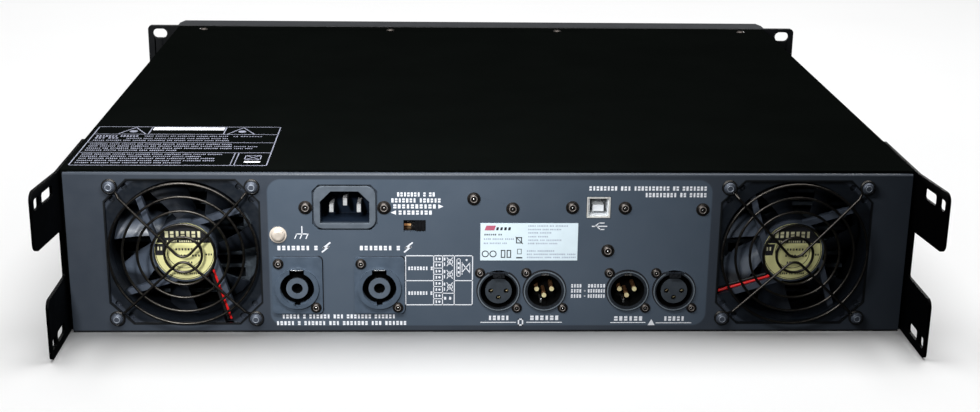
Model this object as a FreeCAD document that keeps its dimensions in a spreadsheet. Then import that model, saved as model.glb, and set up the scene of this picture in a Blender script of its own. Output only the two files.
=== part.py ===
import FreeCAD, Part
import math
import os
import re

import Sketcher
from FreeCAD import Placement, Rotation, Vector

# Two-channel rack power amplifier, 2U high.
# Frame: millimetres, +Z up, front panel towards -Y, rear panel towards +Y, +X to the right seen from the front.
# Origin: centre of the footprint, on the surface the amplifier stands on.

os.makedirs("parts", exist_ok=True)
doc = FreeCAD.newDocument("PowerAmplifier")
sheet = doc.addObject("Spreadsheet::Sheet", "Sizes")

SIZES = {
    # rack front plate
    "rack_width": 482.6,
    "rack_height": 88.1,
    "rack_thick": 3.0,
    "rack_back": -189.0,
    "rack_slot_span": 465.1,
    "rack_slot_rise": 76.2,
    "rack_slot_long": 10.3,
    "rack_slot_tall": 6.8,
    # sheet metal box
    "sheet_thick": 1.5,
    "rear_face": 191.0,
    "panel_wide": 433.0,
    "panel_tall": 86.5,
    "cover_wide": 436.0,
    "cover_back": 2.0,
    "fold_radius": 1.4,
    "flange_deep": 12.0,
    # bezel and air inlets
    "bezel_wide": 440.0,
    "bezel_nose": 435.0,
    "bezel_deep": 23.0,
    "bezel_wall": 3.0,
    "grille_from": 75.0,
    "grille_wide": 130.0,
    "grille_tall": 60.0,
    "grille_mid": 44.0,
    # rear rack brackets
    "bracket_thick": 1.5,
    "bracket_reach": 39.0,
    "bracket_flare": 6.5,
    "bracket_root": 2.5,
    "bracket_front": 60.0,
    "upper_tab_low": 57.0,
    "lower_tab_top": 32.0,
    "tab_slot_tall": 5.8,
    "tab_slot_inset": 7.2,
    # fans
    "fan_offset": 157.5,
    "fan_level": 43.8,
    "fan_square": 80.0,
    "fan_holes": 71.5,
    "fan_deep": 25.0,
    "fan_bore": 38.3,
    "fan_window": 77.5,
    "fan_chamfer": 11.5,
    "hub_radius": 16.5,
    "guard_wire": 0.68,
    # connectors
    "inlet_x": 75.0,
    "inlet_z": 68.4,
    "inlet_wide": 31.5,
    "inlet_tall": 22.7,
    "inlet_screws": 40.0,
    "ground_x": 109.2,
    "ground_z": 53.7,
    "lift_x": 39.4,
    "lift_z": 58.6,
    "lift_wide": 11.4,
    "lift_tall": 6.1,
    "speaker_a": 57.6,
    "speaker_b": 100.0,
    "speaker_z": 26.4,
    "flange_wide": 26.0,
    "flange_tall": 31.0,
    "flange_screw_x": 9.5,
    "flange_screw_z": 12.0,
    "xlr_level": 23.2,
    "input_b": -4.1,
    "output_b": -28.1,
    "output_a": -71.5,
    "input_a": -95.9,
    "xlr_radius": 11.0,
    "xlr_screw": 9.7,
    "usb_x": -54.9,
    "usb_z": 68.6,
    "usb_wide": 12.0,
    "usb_tall": 11.0,
    # controls on the front
    "knob_a": -34.0,
    "knob_b": 4.0,
    "knob_level": 44.0,
    "knob_radius": 10.0,
    "knob_long": 13.6,
    "shaft_radius": 3.0,
    "rocker_x": 46.0,
    "rocker_level": 44.0,
    # clearances
    "running_gap": 0.05,
    "screw_gap": 0.1,
}

for row, (alias, value) in enumerate(SIZES.items(), start=1):
    sheet.set(f"A{row}", alias)
    sheet.set(f"B{row}", str(value))
    sheet.setAlias(f"B{row}", alias)
doc.recompute()


# ---------------------------------------------------------------- helpers

def formula(text):
    """An expression in which every alias is written as Sizes.alias."""
    return re.sub(r"[a-z_]+", lambda m: "Sizes." + m[0] if m[0] in SIZES else m[0], str(text))


def number(text):
    """The value of an expression now."""
    return float(sheet.evalExpression(formula(text)))


def bind(thing, prop, text):
    thing.setExpression(prop, formula(text))
    return thing


def locate(thing, x, y, z):
    bind(thing, "Placement.Base.x", x)
    bind(thing, "Placement.Base.y", y)
    bind(thing, "Placement.Base.z", z)
    return thing


def box(x, y, z, wide, deep, tall):
    """A box from its low corner and its three sizes."""
    thing = doc.addObject("Part::Box", "Block")
    bind(thing, "Length", wide)
    bind(thing, "Width", deep)
    bind(thing, "Height", tall)
    return locate(thing, x, y, z)


def cbox(x, y, z, wide, deep, tall):
    """A box centred on x and z, starting at y."""
    return box(f"{x} - ({wide})/2", y, f"{z} - ({tall})/2", wide, deep, tall)


TURN = {
    "X": Rotation(Vector(0, 1, 0), 90),
    "Y": Rotation(Vector(1, 0, 0), -90),
    "Z": Rotation(),
}


def rod(axis, x, y, z, radius, length):
    """A cylinder from its base centre, along +axis."""
    thing = doc.addObject("Part::Cylinder", "Rod")
    thing.Placement = Placement(Vector(), TURN[axis])
    bind(thing, "Radius", radius)
    bind(thing, "Height", length)
    return locate(thing, x, y, z)


def fuse(*things):
    thing = doc.addObject("Part::MultiFuse", "Union")
    thing.Shapes = list(things)
    thing.Refine = True
    return thing


def cut(base, *tools):
    thing = doc.addObject("Part::Cut", "Cutting")
    thing.Base = base
    thing.Tool = tools[0] if len(tools) == 1 else group(*tools)
    return thing


def group(*things):
    thing = doc.addObject("Part::Compound", "Group")
    thing.Links = list(things)
    return thing


NODES = []


def node(name, thing):
    """Name a finished sub-part."""
    thing.Label = name
    NODES.append(thing)
    return thing


def solid_node(name, shape, place=None):
    """A sub-part whose shape is made directly, placed after its shape is set."""
    thing = doc.addObject("Part::Feature", "Piece")
    thing.Shape = shape
    thing.Placement = place or Placement()
    return node(name, thing)


def plane_of(body, role):
    return [item for item in body.Origin.OriginFeatures if item.Role == role][0]


def sketch_on(body, name, role, offset):
    sketch = body.newObject("Sketcher::SketchObject", name)
    sketch.AttachmentSupport = [(plane_of(body, role), "")]
    sketch.MapMode = "FlatFace"
    bind(sketch, "AttachmentOffset.Base.z", offset)
    return sketch


def pin_point(sketch, geometry, corner, u, v):
    """Tie a point of the sketch to two expressions."""
    for kind, text in (("DistanceX", u), ("DistanceY", v)):
        index = sketch.addConstraint(Sketcher.Constraint(kind, -1, 1, geometry, corner, number(text)))
        bind(sketch, f"Constraints[{index}]", text)


def outline(sketch, points):
    """A closed polygon through points given as expressions."""
    spots = [Vector(number(u), number(v), 0) for u, v in points]
    count = len(spots)
    lines = [Part.LineSegment(spots[i], spots[(i + 1) % count]) for i in range(count)]
    first = sketch.addGeometry(lines, False)[0]
    for i in range(count):
        sketch.addConstraint(Sketcher.Constraint("Coincident", first + i, 2, first + (i + 1) % count, 1))
    for i, (u, v) in enumerate(points):
        pin_point(sketch, first + i, 1, u, v)


def rectangle(sketch, u, v, wide, tall):
    low_u, high_u = f"{u} - ({wide})/2", f"{u} + ({wide})/2"
    low_v, high_v = f"{v} - ({tall})/2", f"{v} + ({tall})/2"
    outline(sketch, [(low_u, low_v), (high_u, low_v), (high_u, high_v), (low_u, high_v)])


def chamfered(sketch, u, v, wide, tall, corner):
    """A rectangle with its four corners cut off."""
    a, b, c = f"({wide})/2", f"({tall})/2", f"({corner})"
    outline(sketch, [
        (f"{u} - {a} + {c}", f"{v} - {b}"),
        (f"{u} + {a} - {c}", f"{v} - {b}"),
        (f"{u} + {a}", f"{v} - {b} + {c}"),
        (f"{u} + {a}", f"{v} + {b} - {c}"),
        (f"{u} + {a} - {c}", f"{v} + {b}"),
        (f"{u} - {a} + {c}", f"{v} + {b}"),
        (f"{u} - {a}", f"{v} + {b} - {c}"),
        (f"{u} - {a}", f"{v} - {b} + {c}"),
    ])


def circle(sketch, u, v, radius):
    spot = Vector(number(u), number(v), 0)
    index = sketch.addGeometry(Part.Circle(spot, Vector(0, 0, 1), number(radius)), False)
    pin_point(sketch, index, 3, u, v)
    size = sketch.addConstraint(Sketcher.Constraint("Radius", index, number(radius)))
    bind(sketch, f"Constraints[{size}]", radius)


def slot_hole(sketch, u, v, length, tall):
    """A slot with round ends, long in the sketch's first direction."""
    r = number(tall) / 2
    reach = number(length) / 2 - r
    cu, cv = number(u), number(v)
    flat = Vector(0, 0, 1)
    half_turn = math.pi / 2
    top = Part.LineSegment(Vector(cu - reach, cv + r, 0), Vector(cu + reach, cv + r, 0))
    low = Part.LineSegment(Vector(cu - reach, cv - r, 0), Vector(cu + reach, cv - r, 0))
    right = Part.ArcOfCircle(Part.Circle(Vector(cu + reach, cv, 0), flat, r), -half_turn, half_turn)
    left = Part.ArcOfCircle(Part.Circle(Vector(cu - reach, cv, 0), flat, r), half_turn, 3 * half_turn)
    first = sketch.addGeometry([top, low, right, left], False)[0]
    top, low, right, left = first, first + 1, first + 2, first + 3
    ends = f"(({length}) - ({tall}))/2"
    pin_point(sketch, top, 1, f"{u} - {ends}", f"{v} + ({tall})/2")
    pin_point(sketch, top, 2, f"{u} + {ends}", f"{v} + ({tall})/2")
    pin_point(sketch, low, 1, f"{u} - {ends}", f"{v} - ({tall})/2")
    pin_point(sketch, low, 2, f"{u} + {ends}", f"{v} - ({tall})/2")
    sketch.addConstraint(Sketcher.Constraint("Tangent", right, 1, low, 2))
    sketch.addConstraint(Sketcher.Constraint("Coincident", right, 2, top, 2))
    sketch.addConstraint(Sketcher.Constraint("Tangent", left, 1, top, 1))
    sketch.addConstraint(Sketcher.Constraint("Coincident", left, 2, low, 1))


def pad(body, sketch, length):
    feature = body.newObject("PartDesign::Pad", "Pad")
    feature.Profile = sketch
    bind(feature, "Length", length)
    body.Tip = feature
    doc.recompute()
    return feature


def pocket(body, sketch):
    """Cut the sketch through the whole body, both ways."""
    before = body.Shape.Volume
    feature = body.newObject("PartDesign::Pocket", "Pocket")
    feature.Profile = sketch
    feature.Type = "ThroughAll"
    feature.Midplane = True
    body.Tip = feature
    doc.recompute()
    if body.Shape.Volume >= before:
        raise RuntimeError("a pocket removed nothing from " + body.Label)
    return feature


def edges_at(shape, test):
    names = []
    for i, edge in enumerate(shape.Edges, start=1):
        if test(edge):
            names.append(f"Edge{i}")
    return names


def fillet(body, radius, test):
    names = edges_at(body.Shape, test)
    if not names:
        raise RuntimeError("no edge to round on " + body.Label)
    base = body.Tip
    feature = body.newObject("PartDesign::Fillet", "Fillet")
    feature.Base = (base, names)
    bind(feature, "Radius", radius)
    body.Tip = feature
    doc.recompute()
    return feature


def round_plate(x, y, z, wide, deep, tall, radius):
    """A plate facing Y with rounded corners, centred on x and z, as a cut block."""
    core = cbox(x, y, z, wide, deep, tall)
    rounding = doc.addObject("Part::Fillet", "Rounding")
    rounding.Base = core
    doc.recompute()
    picks = []
    for i, edge in enumerate(core.Shape.Edges, start=1):
        along = edge.Vertexes[1].Point - edge.Vertexes[0].Point
        if abs(along.y) > 1e-6:
            picks.append((i, number(radius), number(radius)))
    rounding.Edges = picks
    return rounding


# ---------------------------------------------------------------- screws

def screw_shape(head_radius, head_tall, shank_radius, shank_long, recess=True, washer=0.0):
    """A button-head screw: underside of the head at z = 0, shank along -Z.

    The head has a flat crown inside a rounded rim; a washer widens its foot.
    """
    foot = head_radius + washer
    crown = head_radius * 0.45
    profile = Part.Wire([
        Part.makeLine(Vector(0, 0, -shank_long), Vector(shank_radius, 0, -shank_long)),
        Part.makeLine(Vector(shank_radius, 0, -shank_long), Vector(shank_radius, 0, 0)),
        Part.makeLine(Vector(shank_radius, 0, 0), Vector(foot, 0, 0)),
        Part.makeLine(Vector(foot, 0, 0), Vector(foot, 0, 0.45)),
        Part.makeLine(Vector(foot, 0, 0.45), Vector(head_radius * 0.94, 0, 0.55)),
        Part.Arc(
            Vector(head_radius * 0.94, 0, 0.55),
            Vector(head_radius * 0.78, 0, head_tall * 0.78),
            Vector(crown, 0, head_tall),
        ).toShape(),
        Part.makeLine(Vector(crown, 0, head_tall), Vector(0, 0, head_tall)),
        Part.makeLine(Vector(0, 0, head_tall), Vector(0, 0, -shank_long)),
    ])
    shape = Part.Face(profile).revolve(Vector(), Vector(0, 0, 1), 360)
    if recess:
        width = head_radius * 0.24
        span = head_radius * 0.95
        for turn in (0, 90):
            blade = Part.makeBox(span, width, head_tall, Vector(-span / 2, -width / 2, head_tall * 0.35))
            blade.rotate(Vector(), Vector(0, 0, 1), turn)
            shape = shape.cut(blade)
    return shape


def screws(name, master, places):
    """Separate screws, each at a point with its head facing a direction."""
    shapes = []
    for point, facing in places:
        shape = master.copy()
        turn = Rotation(Vector(0, 0, 1), Vector(*facing))
        shape.Placement = Placement(Vector(*point), turn)
        shapes.append(shape)
    return solid_node(name, Part.makeCompound(shapes))


REAR = (0, 1, 0)
UP = (0, 0, 1)
rear_face = SIZES["rear_face"]
fan_offset = SIZES["fan_offset"]
fan_level = SIZES["fan_level"]
half_holes = SIZES["fan_holes"] / 2
SIDES = (("left", -1), ("right", 1))
SPEAKERS = ("speaker_a", "speaker_b")
XLRS = ("input_a", "input_b", "output_a", "output_b")
EXTRA_SCREWS = [
    (9.2, 73.2),
    (-10.8, 67.9),
    (-41.4, 68.6),
    (-68.5, 68.4),
    (-108.6, 67.6),
    (-60.4, 45.2),
]
TOP_SCREWS = (-198.0, -61.5, 61.5, 198.0)
TOP_SCREW_Y = -175.0
BRACKET_SCREWS = [(138.0, 72.0), (138.0, 16.0), (166.0, 72.0), (166.0, 16.0)]

# ---------------------------------------------------------------- rear panel

panel = doc.addObject("PartDesign::Body", "RearPanel")
face = sketch_on(panel, "PanelFace", "XZ_Plane", "-rear_face")
rectangle(face, "0", "panel_tall/2", "panel_wide", "panel_tall")
pad(panel, face, "sheet_thick")
top_fold = sketch_on(panel, "TopFold", "XZ_Plane", "-rear_face")
rectangle(top_fold, "0", "panel_tall - sheet_thick/2", "panel_wide - 4", "sheet_thick")
pad(panel, top_fold, "flange_deep")
for sign in ("-", ""):
    side_fold = sketch_on(panel, "SideFold", "XZ_Plane", "-rear_face")
    rectangle(side_fold, f"{sign}(panel_wide/2 - sheet_thick*1.5)", "panel_tall/2", "sheet_thick", "panel_tall - 6")
    pad(panel, side_fold, "flange_deep")
fillet(panel, "fold_radius", lambda e: e.BoundBox.ZMin > 86.4 and e.BoundBox.YMin > 190.9 and e.Length > 400)

fan_cuts = sketch_on(panel, "FanWindows", "XZ_Plane", "-rear_face")
for sign in ("-", ""):
    chamfered(fan_cuts, f"{sign}fan_offset", "fan_level", "fan_window", "fan_window", "fan_chamfer")
pocket(panel, fan_cuts)

round_cuts = sketch_on(panel, "RoundHoles", "XZ_Plane", "-rear_face")
for sign in ("-", ""):
    for dx in ("-", "+"):
        for dz in ("-", "+"):
            circle(round_cuts, f"{sign}fan_offset {dx} fan_holes/2", f"fan_level {dz} fan_holes/2", "2.15")
for speaker in SPEAKERS:
    circle(round_cuts, speaker, "speaker_z - 1.2", "11.6")
    circle(round_cuts, f"{speaker} + flange_screw_x", "speaker_z + flange_screw_z", "1.6")
    circle(round_cuts, f"{speaker} - flange_screw_x", "speaker_z - flange_screw_z", "1.6")
for xlr in XLRS:
    circle(round_cuts, xlr, "xlr_level", "xlr_radius + screw_gap")
    circle(round_cuts, f"{xlr} + xlr_screw", "xlr_level + xlr_screw", "1.6")
    circle(round_cuts, f"{xlr} - xlr_screw", "xlr_level - xlr_screw", "1.6")
for dx in ("-", "+"):
    circle(round_cuts, f"inlet_x {dx} inlet_screws/2", "inlet_z", "1.7")
circle(round_cuts, "ground_x", "ground_z", "2.1")
for x, z in EXTRA_SCREWS:
    circle(round_cuts, x, z, "1.6")
pocket(panel, round_cuts)

square_cuts = sketch_on(panel, "ConnectorWindows", "XZ_Plane", "-rear_face")
chamfered(square_cuts, "inlet_x", "inlet_z", "inlet_wide + 1.8", "inlet_tall + 1.6", "3.4")
rectangle(square_cuts, "lift_x", "lift_z", "lift_wide", "lift_tall")
rectangle(square_cuts, "usb_x", "usb_z", "usb_wide + 0.5", "usb_tall + 0.5")
pocket(panel, square_cuts)
node("rear_panel", panel)

# ---------------------------------------------------------------- chassis tray

shell = box("-panel_wide/2", "rack_back", "0", "panel_wide", "rear_face - sheet_thick - rack_back", "panel_tall")
hollow = box(
    "-panel_wide/2 + sheet_thick",
    "rack_back + sheet_thick",
    "sheet_thick",
    "panel_wide - 2*sheet_thick",
    "rear_face - rack_back",
    "panel_tall",
)
tray = cut(shell, hollow)
lip = box("-panel_wide/2 + sheet_thick", "rack_back + sheet_thick", "panel_tall - sheet_thick",
          "panel_wide - 2*sheet_thick", "22", "sheet_thick")
tray = fuse(tray, lip)
tray_cuts = [
    cbox("grille_from + grille_wide/2", "rack_back - 1", "grille_mid", "grille_wide", "5", "grille_tall"),
    cbox("-grille_from - grille_wide/2", "rack_back - 1", "grille_mid", "grille_wide", "5", "grille_tall"),
    cbox("8", "rack_back - 1", "44", "112", "5", "50"),
]
for x in TOP_SCREWS:
    tray_cuts.append(rod("Z", x, TOP_SCREW_Y, "panel_tall - 4", "1.6", "8"))
for y, z in BRACKET_SCREWS:
    tray_cuts.append(rod("X", "-panel_wide/2 - 2", y, z, "1.6", "5"))
    tray_cuts.append(rod("X", "panel_wide/2 - 3", y, z, "1.6", "5"))
node("base_chassis", cut(tray, *tray_cuts))

# ---------------------------------------------------------------- top cover

cover_long = "rear_face - cover_back - rack_back"
cover = cut(
    box("-cover_wide/2", "rack_back", "1", "cover_wide", cover_long, "panel_tall + sheet_thick - 1"),
    box("-panel_wide/2", "rack_back - 1", "0", "panel_wide", "rear_face - rack_back + 5", "panel_tall"),
)
cover_cuts = []
for x in TOP_SCREWS:
    cover_cuts.append(rod("Z", x, TOP_SCREW_Y, "panel_tall - 1", "1.6", "5"))
for y, z in BRACKET_SCREWS:
    cover_cuts.append(rod("X", "-cover_wide/2 - 1", y, z, "1.6", "4"))
    cover_cuts.append(rod("X", "cover_wide/2 - 3", y, z, "1.6", "4"))
node("top_cover", cut(cover, *cover_cuts))

# ---------------------------------------------------------------- rack front plate

plate = doc.addObject("PartDesign::Body", "FrontPlate")
plate_face = sketch_on(plate, "PlateFace", "XZ_Plane", "-rack_back")
rectangle(plate_face, "0", "rack_height/2", "rack_width", "rack_height")
pad(plate, plate_face, "rack_thick")
fillet(plate, "3", lambda e: abs(e.BoundBox.YLength - 3) < 1e-3 and abs(e.BoundBox.XMin) > 241 and e.BoundBox.XLength < 1e-6)
plate_slots = sketch_on(plate, "RackSlots", "XZ_Plane", "-rack_back")
for sx in ("-", "+"):
    for sz in ("-", "+"):
        slot_hole(plate_slots, f"0 {sx} rack_slot_span/2", f"rack_height/2 {sz} rack_slot_rise/2",
                  "rack_slot_long", "rack_slot_tall")
pocket(plate, plate_slots)
plate_holes = sketch_on(plate, "PlateWindows", "XZ_Plane", "-rack_back")
for sign in ("-", ""):
    rectangle(plate_holes, f"{sign}(grille_from + grille_wide/2)", "grille_mid", "grille_wide", "grille_tall")
rectangle(plate_holes, "8", "44", "112", "50")
pocket(plate, plate_holes)
node("front_plate", plate)

# ---------------------------------------------------------------- front bezel

bezel_body = doc.addObject("PartDesign::Body", "Bezel")
plan = sketch_on(bezel_body, "BezelPlan", "XY_Plane", "1")
rack_front = "rack_back - rack_thick"
outline(plan, [
    ("-bezel_wide/2", rack_front),
    ("-bezel_wide/2", f"{rack_front} - bezel_deep + 9"),
    ("-bezel_nose/2", f"{rack_front} - bezel_deep"),
    ("bezel_nose/2", f"{rack_front} - bezel_deep"),
    ("bezel_wide/2", f"{rack_front} - bezel_deep + 9"),
    ("bezel_wide/2", rack_front),
])
pad(bezel_body, plan, "rack_height - 2")
bezel_hollow = box("-bezel_nose/2 + bezel_wall", f"{rack_front} - bezel_deep + bezel_wall", "1 + bezel_wall",
                   "bezel_nose - 2*bezel_wall", "bezel_deep", "rack_height - 2 - 2*bezel_wall")
bezel_front = f"{rack_front} - bezel_deep"
bezel_cuts = [
    bezel_hollow,
    cbox("grille_from + grille_wide/2", f"{bezel_front} - 1", "grille_mid", "grille_wide", "6", "grille_tall"),
    cbox("-grille_from - grille_wide/2", f"{bezel_front} - 1", "grille_mid", "grille_wide", "6", "grille_tall"),
    cbox("rocker_x", f"{bezel_front} - 1", "rocker_level", "20.2", "6", "28.2"),
]
for knob in ("knob_a", "knob_b"):
    bezel_cuts.append(rod("Y", knob, f"{bezel_front} - 1", "knob_level", "5.1", "6"))
LAMP_X = (-19.5, -15.0, -10.5)
for x in LAMP_X:
    for z in (62.0, 26.0):
        bezel_cuts.append(rod("Y", x, f"{bezel_front} - 1", z, "1.55", "6"))
node("front_bezel", cut(bezel_body, *bezel_cuts))

# air grilles behind the bezel windows, foam filters behind them
for side, sign in SIDES:
    centre = f"{sign}*(grille_from + grille_wide/2)"
    leaf = cbox(centre, f"{bezel_front} + bezel_wall", "grille_mid", "grille_wide + 6", "1.5", "grille_tall + 6")
    slats = []
    for column in range(20):
        for row in range(3):
            shift = (column - 9.5) * 6.4
            level = 24.0 + 20.0 * row
            slats.append(cbox(f"{centre} + {shift}", f"{bezel_front} + 2", f"{level}", "4.4", "4", "17"))
    node(f"grille_{side}", cut(leaf, *slats))
    node(f"air_filter_{side}", cbox(centre, f"{bezel_front} + bezel_wall + 1.5", "grille_mid",
                                    "grille_wide + 4", "13.5", "grille_tall + 4"))

# ---------------------------------------------------------------- rear rack brackets

bracket_top = "panel_tall + sheet_thick - 0.2"
bracket_end = rear_face + SIZES["bracket_reach"]


def corner_at(y, z):
    """Picks the edge that crosses the sheet at one corner of its outline."""
    def test(edge):
        span = edge.BoundBox
        flat = span.YLength < 1e-6 and span.ZLength < 1e-6
        return flat and abs(span.YMin - y) < 0.01 and abs(span.ZMin - number(z)) < 0.01
    return test


def tab_slots(body, inner, level):
    """A long and a short slot with rounded corners for the rear support screws."""
    cuts = sketch_on(body, "TabSlots", "YZ_Plane", inner)
    rectangle(cuts, "rear_face + 18.4", level, "14.4", "tab_slot_tall")
    rectangle(cuts, "rear_face + 32.6", level, "6.8", "tab_slot_tall")
    pocket(body, cuts)
    centre = number(level)

    def slot_corner(edge):
        span = edge.BoundBox
        if span.YLength > 1e-6 or span.ZLength > 1e-6:
            return False
        return abs(span.ZMin - centre) < 3.2 and rear_face + 10 < span.YMin < rear_face + 37

    fillet(body, "1.5", slot_corner)


for side, sign in SIDES:
    inner = "cover_wide/2" if sign > 0 else "-cover_wide/2 - bracket_thick"
    back = "rear_face + bracket_reach"
    root = "rear_face + bracket_root"

    # the side plate with its straight lower tab
    plate = doc.addObject("PartDesign::Body", "BracketPlate")
    plate_sketch = sketch_on(plate, "BracketSide", "YZ_Plane", inner)
    outline(plate_sketch, [
        ("rear_face - bracket_front", "0.6"),
        (back, "0.6"),
        (back, "lower_tab_top"),
        (root, "lower_tab_top"),
        (root, bracket_top),
        ("rear_face - bracket_front", bracket_top),
    ])
    pad(plate, plate_sketch, "bracket_thick")
    fillet(plate, "4.5", corner_at(bracket_end, "lower_tab_top"))
    fillet(plate, "3", corner_at(bracket_end, "0.6"))
    fillet(plate, "1.5", corner_at(number(root), "lower_tab_top"))
    tab_slots(plate, inner, "tab_slot_inset + 0.6")
    holes = sketch_on(plate, "BracketHoles", "YZ_Plane", inner)
    for y, z in BRACKET_SCREWS:
        circle(holes, y, z, "1.6")
    pocket(plate, holes)

    # the upper tab is bent outwards a few degrees at the root
    flare = doc.addObject("PartDesign::Body", "BracketFlare")
    flare_sketch = sketch_on(flare, "FlareSide", "YZ_Plane", inner)
    outline(flare_sketch, [
        (f"{root} - 0.6", "upper_tab_low"),
        (back, "upper_tab_low"),
        (back, bracket_top),
        (f"{root} - 0.6", bracket_top),
    ])
    pad(flare, flare_sketch, "bracket_thick")
    fillet(flare, "4.5", lambda e: corner_at(bracket_end, "upper_tab_low")(e) or corner_at(bracket_end, bracket_top)(e))
    tab_slots(flare, inner, f"{bracket_top} - tab_slot_inset")
    bend = Vector(sign * (SIZES["cover_wide"] + SIZES["bracket_thick"]) / 2, number(root), 0)
    flare.Placement = Placement(Vector(), Rotation(Vector(0, 0, 1), -sign * SIZES["bracket_flare"]), bend)
    node(f"rear_bracket_{side}", fuse(plate, flare))

side_face = (SIZES["cover_wide"] / 2 + SIZES["bracket_thick"])
bracket_places = []
for sign in (-1, 1):
    for y, z in BRACKET_SCREWS:
        bracket_places.append(((sign * side_face, y, z), (sign, 0, 0)))
screws("bracket_screws", screw_shape(3.4, 1.8, 1.5, 7.5), bracket_places)
cover_top = SIZES["panel_tall"] + SIZES["sheet_thick"]
screws("top_cover_screws", screw_shape(2.8, 1.2, 1.5, 6.0), [((x, TOP_SCREW_Y, cover_top), UP) for x in TOP_SCREWS])
screws("rear_panel_screws", screw_shape(2.9, 1.5, 1.5, 6.0, washer=0.5), [((x, rear_face, z), REAR) for x, z in EXTRA_SCREWS])

# ---------------------------------------------------------------- fans

fan_rear = "rear_face - sheet_thick"
fan_back = rear_face - SIZES["sheet_thick"]
hub_radius = SIZES["hub_radius"]
fan_bore = SIZES["fan_bore"]
fan_deep = SIZES["fan_deep"]


STRUT_LEAN = 17.0
LEAD_TURN = {"left": 90, "right": 180}


def along_strut(shape, centre_x, turn):
    """Turn a shape that runs up +Z from the hub so that it follows one of the leaning struts."""
    shape.rotate(Vector(), Vector(0, 1, 0), STRUT_LEAN)
    shape.translate(Vector(14.9, 0, 4.9))
    shape.rotate(Vector(), Vector(0, 1, 0), turn)
    shape.translate(Vector(centre_x, 0, fan_level))
    return shape


def strut(centre_x, turn):
    """A straight strut that leans away from the hub's radius and reaches the frame."""
    return along_strut(Part.makeBox(3.0, 4.0, 33.0, Vector(-1.5, fan_back - 5.0, 0)), centre_x, turn)


def impeller_blade():
    """One swept blade from the hub to the tip, about the Y axis."""
    sections = []
    for radius, chord, pitch, lead in ((15.6, 13.5, 52, -3.0), (27.0, 17.5, 40, 1.0), (38.6, 21.5, 31, 6.5)):
        points = []
        for share, bulge in ((-0.5, 0.0), (0.0, 2.2), (0.5, 0.0)):
            along = share * chord
            slope = math.radians(pitch)
            tangent = along * math.cos(slope) - bulge * math.sin(slope) + lead
            height = along * math.sin(slope) + bulge * math.cos(slope)
            points.append((tangent, height))
        front = Part.Arc(*[Vector(t, h, radius) for t, h in points]).toShape()
        back = Part.Arc(*[Vector(t, h - 1.3, radius) for t, h in points]).toShape()
        start = Part.makeLine(front.Vertexes[0].Point, back.Vertexes[0].Point)
        finish = Part.makeLine(front.Vertexes[-1].Point, back.Vertexes[-1].Point)
        sections.append(Part.Wire(Part.__sortEdges__([front, finish, back, start])))
    return Part.makeLoft(sections, True, True)


def ring_about_y(radius_out, radius_in, start, length):
    outer = Part.makeCylinder(radius_out, length, Vector(0, start, 0), Vector(0, 1, 0))
    if radius_in <= 0:
        return outer
    return outer.cut(Part.makeCylinder(radius_in, length + 2, Vector(0, start - 1, 0), Vector(0, 1, 0)))


rotor_top = fan_back - 6.0
rotor_low = fan_back - fan_deep + 1.5
for side, sign in SIDES:
    x = f"{sign}*fan_offset"
    centre_x = sign * fan_offset
    casing = round_plate(x, f"{fan_rear} - fan_deep", "fan_level", "fan_square", "fan_deep", "fan_square", "4")
    casing = cut(casing, rod("Y", x, f"{fan_rear} - fan_deep - 1", "fan_level", "fan_bore", "fan_deep + 2"))
    holes = []
    for dx in ("-", "+"):
        for dz in ("-", "+"):
            holes.append(rod("Y", f"{x} {dx} fan_holes/2", f"{fan_rear} - fan_deep - 1",
                             f"fan_level {dz} fan_holes/2", "2.15", "fan_deep + 2"))
    for dx in (-1, 1):
        for dz in (-1, 1):
            for across, up in ((6.9, 0.6), (0.6, 7.4)):
                boss_x = f"{x} + {dx}*(fan_holes/2 - {across})"
                boss_z = f"fan_level + {dz}*(fan_holes/2 - {up})"
                holes.append(rod("Y", boss_x, f"{fan_rear} - 1.6", boss_z, "1.7", "3"))
    hub = rod("Y", x, f"{fan_rear} - 5", "fan_level", "hub_radius", "4")
    tube = rod("Y", x, f"{fan_rear} - 17", "fan_level", "4", "12")
    channel = doc.addObject("Part::Feature", "LeadChannel")
    channel_block = Part.makeBox(4.2, 6.0, 18.0, Vector(-5.5, fan_back - 5.0, 24.0))
    channel.Shape = along_strut(channel_block, centre_x, LEAD_TURN[side])
    holes.append(channel)
    struts = []
    for turn in (0, 90, 180, 270):
        piece = doc.addObject("Part::Feature", "Strut")
        piece.Shape = strut(centre_x, turn)
        struts.append(piece)
    bore = rod("Y", x, f"{fan_rear} - 20", "fan_level", "1.5 + running_gap", "17")
    whole = fuse(cut(casing, *holes), hub, tube, *struts)
    node(f"fan_frame_{side}", cut(whole, bore))

    span = rotor_top - rotor_low
    cup = ring_about_y(hub_radius - 0.3, hub_radius - 2.3, rotor_low, span)
    lid = ring_about_y(hub_radius - 0.3, 0, rotor_low, 1.8)
    shaft = ring_about_y(1.5, 0, rotor_low, span + 1.5)
    rotor = cup.fuse(lid).fuse(shaft)
    sweep = ring_about_y(37.4, 14.9, rotor_low + 0.4, span - 0.8)
    blade = impeller_blade()
    blade.translate(Vector(0, (rotor_top + rotor_low) / 2, 0))
    blade = blade.common(sweep)
    for index in range(7):
        copy = blade.copy()
        copy.rotate(Vector(), Vector(0, 1, 0), index * 360 / 7 + 12)
        rotor = rotor.fuse(copy)
    rotor = rotor.removeSplitter()
    solid_node(f"fan_rotor_{side}", rotor, Placement(Vector(centre_x, 0, fan_level), Rotation()))


def bent_wire(points, radius):
    """A round wire through points, with a ball at each bend."""
    spots = [Vector(*p) for p in points]
    pieces = []
    for start, finish in zip(spots, spots[1:]):
        run = finish - start
        pieces.append(Part.makeCylinder(radius, run.Length, start, run))
    for spot in spots[1:-1]:
        pieces.append(Part.makeSphere(radius, spot))
    return pieces[0].multiFuse(pieces[1:])


guard_wire = SIZES["guard_wire"]
ring_y = rear_face + 2.8
spoke_y = ring_y + 1.2


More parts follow.
